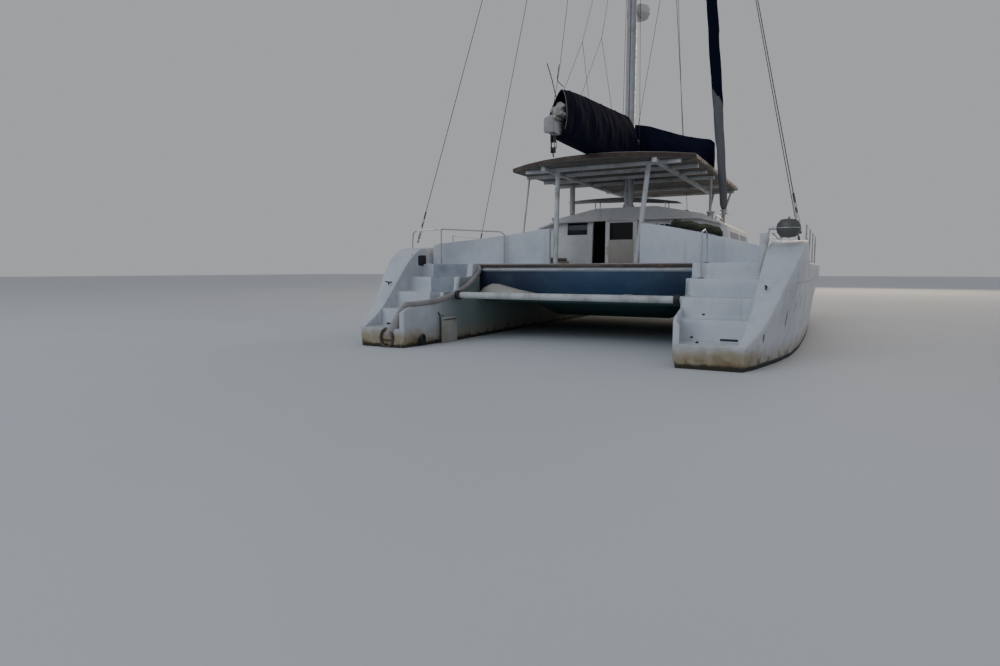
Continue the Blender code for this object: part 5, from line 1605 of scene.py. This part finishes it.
@dataclass
class Deckhouse:
    """The bridgedeck, cabin, panes, door and cockpit nodes, dressed, with their trim."""

    panes: tuple[str, ...] = ("pane_aft_a", "pane_aft_b", "pane_front_port", "pane_front_starboard",
                              "pane_port_a", "pane_port_b", "pane_starboard_a", "pane_starboard_b",
                              "door_pane")
    brow_half: float = 1.86
    brow_z: float = 2.185
    rail_path: tuple[tuple[float, float, float], ...] = (
        (1.62, 5.6, 2.20), (1.62, 5.63, 2.275), (1.60, 6.2, 2.285), (1.56, 6.77, 2.275), (1.55, 6.8, 2.20))
    hatch_at: tuple[float, float] = (0.75, 6.35)
    hatch_half: float = 0.24
    lid_half: float = 0.20
    visor_rows: tuple[tuple[float, float, float], ...] = (
        (-1.62, 2.700, .014), (-1.2, 2.735, .045), (-.55, 2.745, .070), (.10, 2.70, .065), (.82, 2.60, .014))
    visor_ends: tuple[float, float] = (5.72, 6.20)
    visor_legs: tuple[tuple[float, float], ...] = ((-1.0, 2.34), (.55, 2.41))
    winch_at: tuple[float, float, float] = (1.62, 4.98, 2.16)
    winch_rows: tuple[tuple[float, float], ...] = (
        (0.05, -0.06), (0.085, -0.05), (0.085, 0.02), (0.062, 0.04), (0.058, 0.10), (0.078, 0.13),
        (0.078, 0.15), (0.03, 0.155), (0.03, 0.17), (0.01, 0.172))
    gauges: tuple[float, ...] = (0.80, 0.95, 1.10)
    cushion_x: tuple[float, float] = (0.87, 1.34)
    cushion_ends: tuple[tuple[float, float], ...] = ((3.10, 3.47), (3.50, 3.87))
    hatch_x: float = 2.48

    def build(self) -> None:
        """Dress each node in its own finish, then add trim."""
        dress("bridgedeck", BridgeFace(), 0.015)
        dress("cabin", CABIN_WHITE, 0.03)
        for name in self.panes:
            dress(name, GLASS)
        dress("saloon_door", CABIN_WHITE, 0.008)
        for name in ("cockpit_seat_port", "cockpit_seat_starboard", "helm"):
            dress(name, COCKPIT_BEIGE, 0.02)
        for name in ("saloon_seat", "galley"):
            dress(name, BEIGE_CLOTH, 0.02)
        dress("steering_wheel", STAINLESS)
        for side in Side:
            dress(f"engine_{side.word}", IRON, 0.01)
            dress(f"engine_hatch_{side.word}", GELCOAT, 0.008)
        self.trim()
        self.visor()
        self.winches()
        self.cushions()
        self.hatch_gear()
        self.door_gear()

    def trim(self) -> None:
        """Brow over the aft windows, grab rails and deck hatches on the coachroof."""
        pen = Pen()
        rings = []
        for i in range(21):
            x = lerp(-self.brow_half, self.brow_half, i / 20)
            z = self.brow_z - 0.030 * (x / self.brow_half) ** 2 - (0.10 * glide((abs(x) - 1.45) / 0.45))
            rings.append([Vector((x, y, z + dz)) for y, dz in (
                (-1.245, 0.0), (-1.375, -0.004), (-1.382, 0.014), (-1.370, 0.030), (-1.23, 0.040))])
        pen.skin(rings, mark=0)
        for side in Side:
            rail = [(side.value * x, station(v), z) for x, v, z in self.rail_path]
            pen.tube(curve_through(rail), 0.013, 8, 1)
        for side in Side:
            x, y = side.value * self.hatch_at[0], station(self.hatch_at[1])
            h = self.hatch_half
            pen.box((x - h, y - h, 2.36), (x + h, y + h, 2.455), 2, round_by=0.03)
            h = self.lid_half
            pen.box((x - h, y - h, 2.45), (x + h, y + h, 2.468), 3, round_by=0.012)
        place(pen.make("coachroof_trim", (CABIN_WHITE, STAINLESS, WHITE_PLASTIC, GLASS), 40.0), Slot.GELCOAT)

    def visor(self) -> None:
        """The low grey board that bridges the coachroof ahead of the mast, on four legs."""
        pen = Pen()
        rows = self.visor_rows
        y0, y1 = (station(v) for v in self.visor_ends)
        rings = []
        for i in range(31):
            x = lerp(rows[0][0], rows[-1][0], i / 30)
            top, thick = monotone(rows, x, 1) + 0.02, monotone(rows, x, 2)
            rings.append([Vector((x, y0, top - thick * 0.6)), Vector((x, y0 + 0.03, top - thick)),
                          Vector((x, y1 - 0.03, top - thick)), Vector((x, y1, top - thick * 0.6)),
                          Vector((x, y1 - 0.04, top)), Vector((x, y0 + 0.04, top))])
        pen.skin(rings, mark=0)
        for x, z in self.visor_legs:
            for v in (5.80, 6.12):
                pen.tube([(x, station(v), z), (x, station(v), monotone(rows, x, 1) - 0.015)], 0.012, 8, 1)
        place(pen.make("coachroof_visor", (VISOR_PAINT, STAINLESS), 40.0), Slot.PAINT)

    def winches(self) -> None:
        """Two winches on the coachroof, and the helm's gauges under their hood."""
        pen = Pen()
        x, v, z = self.winch_at
        for s in (1, -1):
            pen.lathe(self.winch_rows, Matrix.Translation((s * x, station(v), z)), 24, 0)
        for x in self.gauges:
            disc(pen, (x, station(4.252), 1.80), (0, -1, 0), 0.045, 0.010, 1)
        pen.box((0.72, station(4.30), 1.92), (1.20, station(4.60), 1.945), 1, round_by=0.01)
        place(pen.make("winches_and_gauges", (STAINLESS, BLACK), 40.0), Slot.STEEL)

    def cushions(self) -> None:
        """Two cushions on each cockpit seat."""
        pen = Pen()
        for side in Side:
            for a, b in self.cushion_ends:
                x0, x1 = sorted(side.value * x for x in self.cushion_x)
                pen.box((x0, station(a), 1.362), (x1, station(b), 1.425), 0, round_by=0.03)
        place(pen.make("cockpit_cushions", (BEIGE_CLOTH,), 60.0), Slot.CANVAS)

    def door_gear(self) -> None:
        """The beige lower board of the saloon door, and its pull."""
        low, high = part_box("saloon_door")
        pen = Pen()
        y = low[1]
        pen.box((low[0] + 0.07, y - 0.006, 1.30), (high[0] - 0.07, y + 0.004, 1.80), 0, round_by=0.004)
        x = low[0] + 0.045
        pen.tube([(x, y, 1.50), (x, y - 0.03, 1.51), (x, y - 0.03, 1.65), (x, y, 1.66)], 0.008, 8, 1)
        place(pen.make("door_gear", (COCKPIT_BEIGE, STAINLESS), 40.0), Slot.GELCOAT, "saloon_door")

    def hatch_gear(self) -> None:
        """Hinges and a lifting ring on each engine hatch."""
        for side in Side:
            centre = side.value * self.hatch_x
            pen = Pen()
            for dx in (-0.2, 0.2):
                x = centre + dx
                pen.box((x - 0.03, station(4.12), 1.336), (x + 0.03, station(4.235), 1.344), round_by=0.003)
                pen.tube([(x - 0.03, station(4.24), 1.338), (x + 0.03, station(4.24), 1.338)], 0.008, 8)
            disc(pen, (centre, station(3.36), 1.335), (0, 0, 1), 0.035, 0.006)
            obj = pen.make(f"hatch_gear_{side.word}", (STAINLESS,), 40.0)
            place(obj, Slot.STEEL, f"engine_hatch_{side.word}")


@dataclass
class Metalwork:
    """Spars, stays and rails, dressed, with the small gear on them."""

    head: tuple[float, float, float] = (0.0, -1.0, 17.08)
    feet: tuple[tuple[float, float, float], ...] = (
        (-3.28, -1.55, 1.40), (3.28, -1.55, 1.40), (-3.34, -3.70, 1.717), (3.34, -3.70, 1.717),
        (0.0, 5.20, 1.42))
    screw_rows: tuple[tuple[float, float], ...] = (
        (0.010, 0.02), (0.020, 0.03), (0.020, 0.06), (0.013, 0.07), (0.013, 0.10), (0.021, 0.11),
        (0.021, 0.30), (0.013, 0.31), (0.013, 0.38), (0.018, 0.39), (0.018, 0.46), (0.009, 0.47))
    mast_lights: tuple[float, ...] = (6.0, 9.5, 13.3)
    mast_winch_rows: tuple[tuple[float, float], ...] = (
        (0.03, 0.0), (0.055, 0.0), (0.055, 0.02), (0.040, 0.035), (0.038, 0.08), (0.05, 0.10), (0.02, 0.105))
    halyard_ends: tuple[tuple[tuple[float, float, float], tuple[float, float, float]], ...] = (
        ((0.20, -0.98, 3.175), (0.105, -1.0, 9.35)), ((0.12, -0.86, 4.10), (1.06, -1.10, 9.38)),
        ((0.96, -0.60, 3.80), (0.72, -1.07, 9.42)), ((-0.12, -0.95, 3.175), (-0.10, -1.0, 13.1)),
        ((-0.16, -1.02, 3.175), (-0.105, -1.0, 9.3)))
    boom_axis_y: float = -1.20
    lift_head: float = 17.05
    jack_head: float = 9.30
    grill_at: tuple[float, float, float] = (3.22, 1.68, 1.76)
    beam_at: float = 11.2

    def build(self) -> None:
        """Dress each node in its own metal, then add the gear."""
        dress("mast", ANODISED, 0.004)
        dress("radar_dome", WHITE_PLASTIC, 0.006)
        dress("boom", ANODISED, 0.01)
        dress("forward_beam", ANODISED, 0.004)
        dress("forestay", STAY_WIRE)
        dress("stern_tube", WHITE_PAINT)
        dress("davit_strut", WHITE_PAINT)
        dress("rail_grill", GRILL_ENAMEL, 0.006)
        for side in Side:
            for name in ("shroud", "backstay"):
                dress(f"{name}_{side.word}", STAY_WIRE)
            for name in ("bow_rail", "guard_rail", "stern_rail"):
                dress(f"{name}_{side.word}", STAINLESS)
        self.turnbuckles()
        self.mast_gear()
        self.halyards()
        self.boom_lines()
        self.grill_gear()
        self.bows()

    def turnbuckles(self) -> None:
        """A rigging screw at the foot of each stay."""
        pen = Pen()
        for foot in self.feet:
            base = Vector(foot)
            aim = (Vector(self.head) - base).normalized()
            pen.lathe(self.screw_rows, turned(base, aim), 14)
        place(pen.make("rigging_screws", (STAINLESS,), 45.0), Slot.STEEL)

    def mast_gear(self) -> None:
        """Track, lights, vane and winches on the mast."""
        pen = Pen()
        pen.box((-0.012, -1.128, 2.75), (0.012, -1.112, 16.9), 0, round_by=0.003)
        for z in self.mast_lights:
            pen.box((-0.030, -0.895, z), (0.030, -0.845, z + 0.09), 1, round_by=0.012)
        pen.tube([(0.04, -1.02, 17.19), (0.04, -1.02, 17.24)], 0.010, 8, 1)
        for x in (-0.095, 0.095):
            pen.lathe(self.mast_winch_rows, turned((x * 0.88, -1.0, 3.75), (x, 0, 0)), 18, 2)
        place(pen.make("mast_gear", (GREY_RUBBER, BLACK, STAINLESS), 40.0), Slot.ALLOY)

    def halyards(self) -> None:
        """The lines that run up beside the mast."""
        pen = Pen()
        for a, b in self.halyard_ends:
            pen.tube([a, b], 0.0045, 6, 0)
        place(pen.make("halyards", (DARK_LINE,), 60.0), Slot.STEEL)

    def boom_lines(self) -> None:
        """Topping lift, lazy jacks, the ties over the cover and the sheet tackle below the boom."""
        pen = Pen()
        pen.tube([(0.055, station(.93), 3.48), (0.03, station(1.25), 4.20),
                  (0.0, self.boom_axis_y, self.lift_head)], 0.004, 6, 0)
        pen.tube(curve_through([(0.03, station(1.42), 3.96), (-0.02, station(1.30), 4.03),
                                (0.0, station(1.26), 4.14), (0.05, station(1.18), 4.22)]), 0.006, 6, 0)
        pen.tube([(0.03, station(1.12), 3.74), (0.00, station(1.03), 3.98), (-0.06, station(.99), 4.20)],
                 0.007, 6, 0)
        for s in (-1, 1):
            joint = (s * 0.17, station(2.7), 5.05)
            for foot in ((s * 0.17, station(1.75), 3.86), (s * 0.20, station(3.25), 3.92)):
                pen.tube([foot, joint], 0.0035, 6, 0)
            pen.tube([joint, (s * 0.02, self.boom_axis_y, self.jack_head)], 0.0035, 6, 0)
        for x in (-0.022, 0.022):
            pen.box((x - 0.014, station(1.06), 3.085), (x + 0.014, station(1.14), 3.19), 1, round_by=0.012)
            pen.box((x - 0.014, station(1.07), 2.93), (x + 0.014, station(1.13), 3.02), 1, round_by=0.012)
            pen.tube([(x, station(1.09), 3.10), (x, station(1.09), 3.0)], 0.006, 6, 0)
            pen.tube([(x * 2.0, station(1.115), 3.10), (x * 2.0, station(1.115), 3.0)], 0.006, 6, 0)
        y = station(1.10)
        pen.tube([(0, y, 2.95), (0, y, 2.90), (0.01, y, 2.87)], 0.010, 8, 1)
        place(pen.make("boom_lines", (DARK_LINE, BLACK), 50.0), Slot.STEEL, "boom")

    def grill_gear(self) -> None:
        """The lid's seam, knob and handle on the grill, its bracket, and the white board beside it."""
        pen = Pen()
        x, v, z = self.grill_at
        c = Vector((x, station(v), z))
        seam = [(0.150, -0.006), (0.1605, -0.005), (0.1605, 0.005), (0.150, 0.006)]
        pen.lathe(seam, Matrix.Translation(c), 28, 0)
        pen.tube([c + Vector((0, 0, 0.125)), c + Vector((0, 0, 0.155))], 0.016, 10, 0)
        pen.tube([c + Vector((-0.24, 0, 0.0)), c + Vector((-0.15, 0, 0.0))], 0.020, 10, 0)
        bracket = [c + Vector(step) for step in ((-0.05, 0, -0.11), (-0.12, 0, -0.15), (-0.20, 0, -0.06))]
        pen.tube(bracket, 0.010, 8, 0)
        pen.box((2.86, station(1.69), 1.07), (2.97, station(1.72), 1.70), 1, round_by=0.012)
        place(pen.make("grill_gear", (STAINLESS, WHITE_PAINT), 40.0), Slot.IRON)

    def bows(self) -> None:
        """The anchor roller, a collar at each end of the forward beam, and the nets' lashings on it."""
        pen = Pen()
        y = station(self.beam_at)
        for x in (-0.10, 0.10):
            pen.box((x - 0.008, y - 0.10, 1.225), (x + 0.008, y + 0.20, 1.33), 0, round_by=0.006)
        pen.tube([(-0.10, y + 0.14, 1.29), (0.10, y + 0.14, 1.29)], 0.030, 14, 1)
        for s in (-1, 1):
            pen.lathe([(0.087, -0.03), (0.10, -0.025), (0.10, 0.025), (0.087, 0.03)],
                      turned((s * 1.99, y, 1.22), (1, 0, 0)), 20, 0)
            for i in range(24):
                a = lerp(0.14, 1.80, i / 23)
                pen.tube([(s * a, y - 0.088, 1.20), (s * (a + 0.035), y, 1.306),
                          (s * (a + 0.03), y - 0.088, 1.20)], 0.004, 5, 2)
        place(pen.make("foredeck_gear", (STAINLESS, BLACK, LINE), 45.0), Slot.STEEL)


@dataclass
class Net:
    """One half of the trampoline, as a woven mesh of cord."""

    side: Side
    pitch: float = 0.05
    cord: float = 0.003

    def build(self) -> None:
        """Lay cords both ways inside the node's plan, with a stout cord round the edge."""
        low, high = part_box(f"net_{self.side.word}")
        hull = Hull(self.side)
        s = self.side.value
        pen = Pen()
        z = (low[2] + high[2]) / 2
        y = low[1] + 0.01
        while y < high[1]:
            pen.tube([(s * 0.065, y, z), (s * self.edge(hull, y), y, z)], self.cord, 4)
            y += self.pitch
        x = 0.08
        while x < max(abs(low[0]), abs(high[0])):
            start = low[1]
            while start < high[1] and self.edge(hull, start) < x:
                start += 0.05
            if start < high[1] - 0.1:
                pen.tube([(s * x, start, z), (s * x, high[1], z)], self.cord, 4)
            x += self.pitch
        aft, fore = low[1] + 0.008, high[1] - 0.008
        border = [(s * 0.075, aft, z)]
        for i in range(13):
            reach = self.edge(hull, lerp(low[1], high[1], i / 12)) - 0.01
            border.append((s * reach, lerp(aft, fore, i / 12), z))
        border += [(s * 0.075, fore, z), (s * 0.075, aft, z)]
        pen.tube(border, 0.0065, 8)
        place(pen.make(f"trampoline_{self.side.word}", (GREY_RUBBER,), 60.0), Slot.NET,
              instead=(f"net_{self.side.word}",))

    @staticmethod
    def edge(hull: Hull, y: float) -> float:
        """Distance of the net's outboard edge from the centreline."""
        return hull.centre - hull.size(y + LENGTH / 2, 5) - 0.02


@dataclass(frozen=True)
class Plain(Finish):
    """The studio's even matt floor."""

    name: str = "studio_floor"
    colour: Colour = (0.60, 0.62, 0.64)

    def paint(self, n: Nodes) -> None:
        """One colour with the faintest cloud, so that shadows read on it."""
        n.to("Base Color", n.mix(n.spread(n.noise(0.2, 2.0), 0.3, 0.7), self.colour,
                                 tuple(c * 0.96 for c in self.colour)))
        n.set(roughness=0.85, specular_ior_level=0.2)


@dataclass(frozen=True)
class Lamp:
    """A square soft light: where it stands, what it faces, its size, its watts and its colour."""

    name: str
    at: tuple[float, float, float]
    aim: tuple[float, float, float]
    size: float
    watts: float
    colour: Colour

    def light(self) -> None:
        """Hang the light."""
        data = bpy.data.lights.new(self.name, "AREA")
        data.size, data.energy, data.color = self.size, self.watts, self.colour
        obj = bpy.data.objects.new(self.name, data)
        obj.location = self.at
        obj.rotation_euler = (Vector(self.aim) - Vector(self.at)).to_track_quat("-Z", "Y").to_euler()
        bpy.context.scene.collection.objects.link(obj)


@dataclass
class Studio:
    """Floor, sky, lights and the camera."""

    eye: tuple[float, float, float] = (3.84, -13.77, 1.20)
    turn: tuple[float, float, float] = (84.25, 0.0, 28.12)
    lens: float = 22.68
    sensor: float = 36.0
    sight: float = 500.0
    floor_half: float = 120.0
    floor_z: float = -0.02
    sky: Colour = (0.77, 0.79, 0.83)
    sky_strength: float = 0.51
    lamps: tuple[Lamp, ...] = (
        Lamp("cool_fill", (-8.0, -26.0, 16.0), (0.0, -2.0, 1.5), 18.0, 1750.0, (0.72, 0.84, 1.0)),
        Lamp("warm_rim", (6.0, 32.0, 13.0), (2.0, -2.0, 2.0), 14.0, 2600.0, (1.0, 0.80, 0.58)))

    def floor(self) -> None:
        """A wide plain floor at the waterline."""
        pen = Pen()
        h, z = self.floor_half, self.floor_z
        pen.skin([[(-h, -h, z), (h, -h, z)], [(-h, h, z), (h, h, z)]], Cap.OPEN, closed=False)
        obj = pen.make("floor", (Plain(),))

    def air(self) -> None:
        """An even pale sky."""
        world = bpy.data.worlds.new("sky")
        world.use_nodes = True
        back = world.node_tree.nodes["Background"]
        back.inputs["Color"].default_value = (*self.sky, 1.0)
        back.inputs["Strength"].default_value = self.sky_strength
        bpy.context.scene.world = world

    def camera(self) -> None:
        """The camera, low over the water astern."""
        data = bpy.data.cameras.new("camera")
        data.lens, data.sensor_width = self.lens, self.sensor
        data.clip_end = self.sight
        camera = bpy.data.objects.new("camera", data)
        camera.location = self.eye
        camera.rotation_euler = [math.radians(a) for a in self.turn]
        bpy.context.scene.collection.objects.link(camera)
        bpy.context.scene.camera = camera

    def build(self) -> None:
        """Set the floor, the sky, the lights and the camera."""
        self.floor()
        self.air()
        for lamp in self.lamps:
            lamp.light()
        self.camera()


def main() -> None:
    """Build the boat in order and set it in its studio."""
    for side in Side:
        Hull(side).build()
        Coaming(side).build()
        Underwater(side).build()
        Net(side).build()
    PortQuarter(Hull(Side.PORT)).build()
    AftDeck().build()
    Deckhouse().build()
    Roof().build()
    Metalwork().build()
    SailCover().build()
    Roll().build()
    SailBag().build()
    Studio().build()


if __name__ == "__main__":
    logging.basicConfig(level=logging.INFO)
    main()
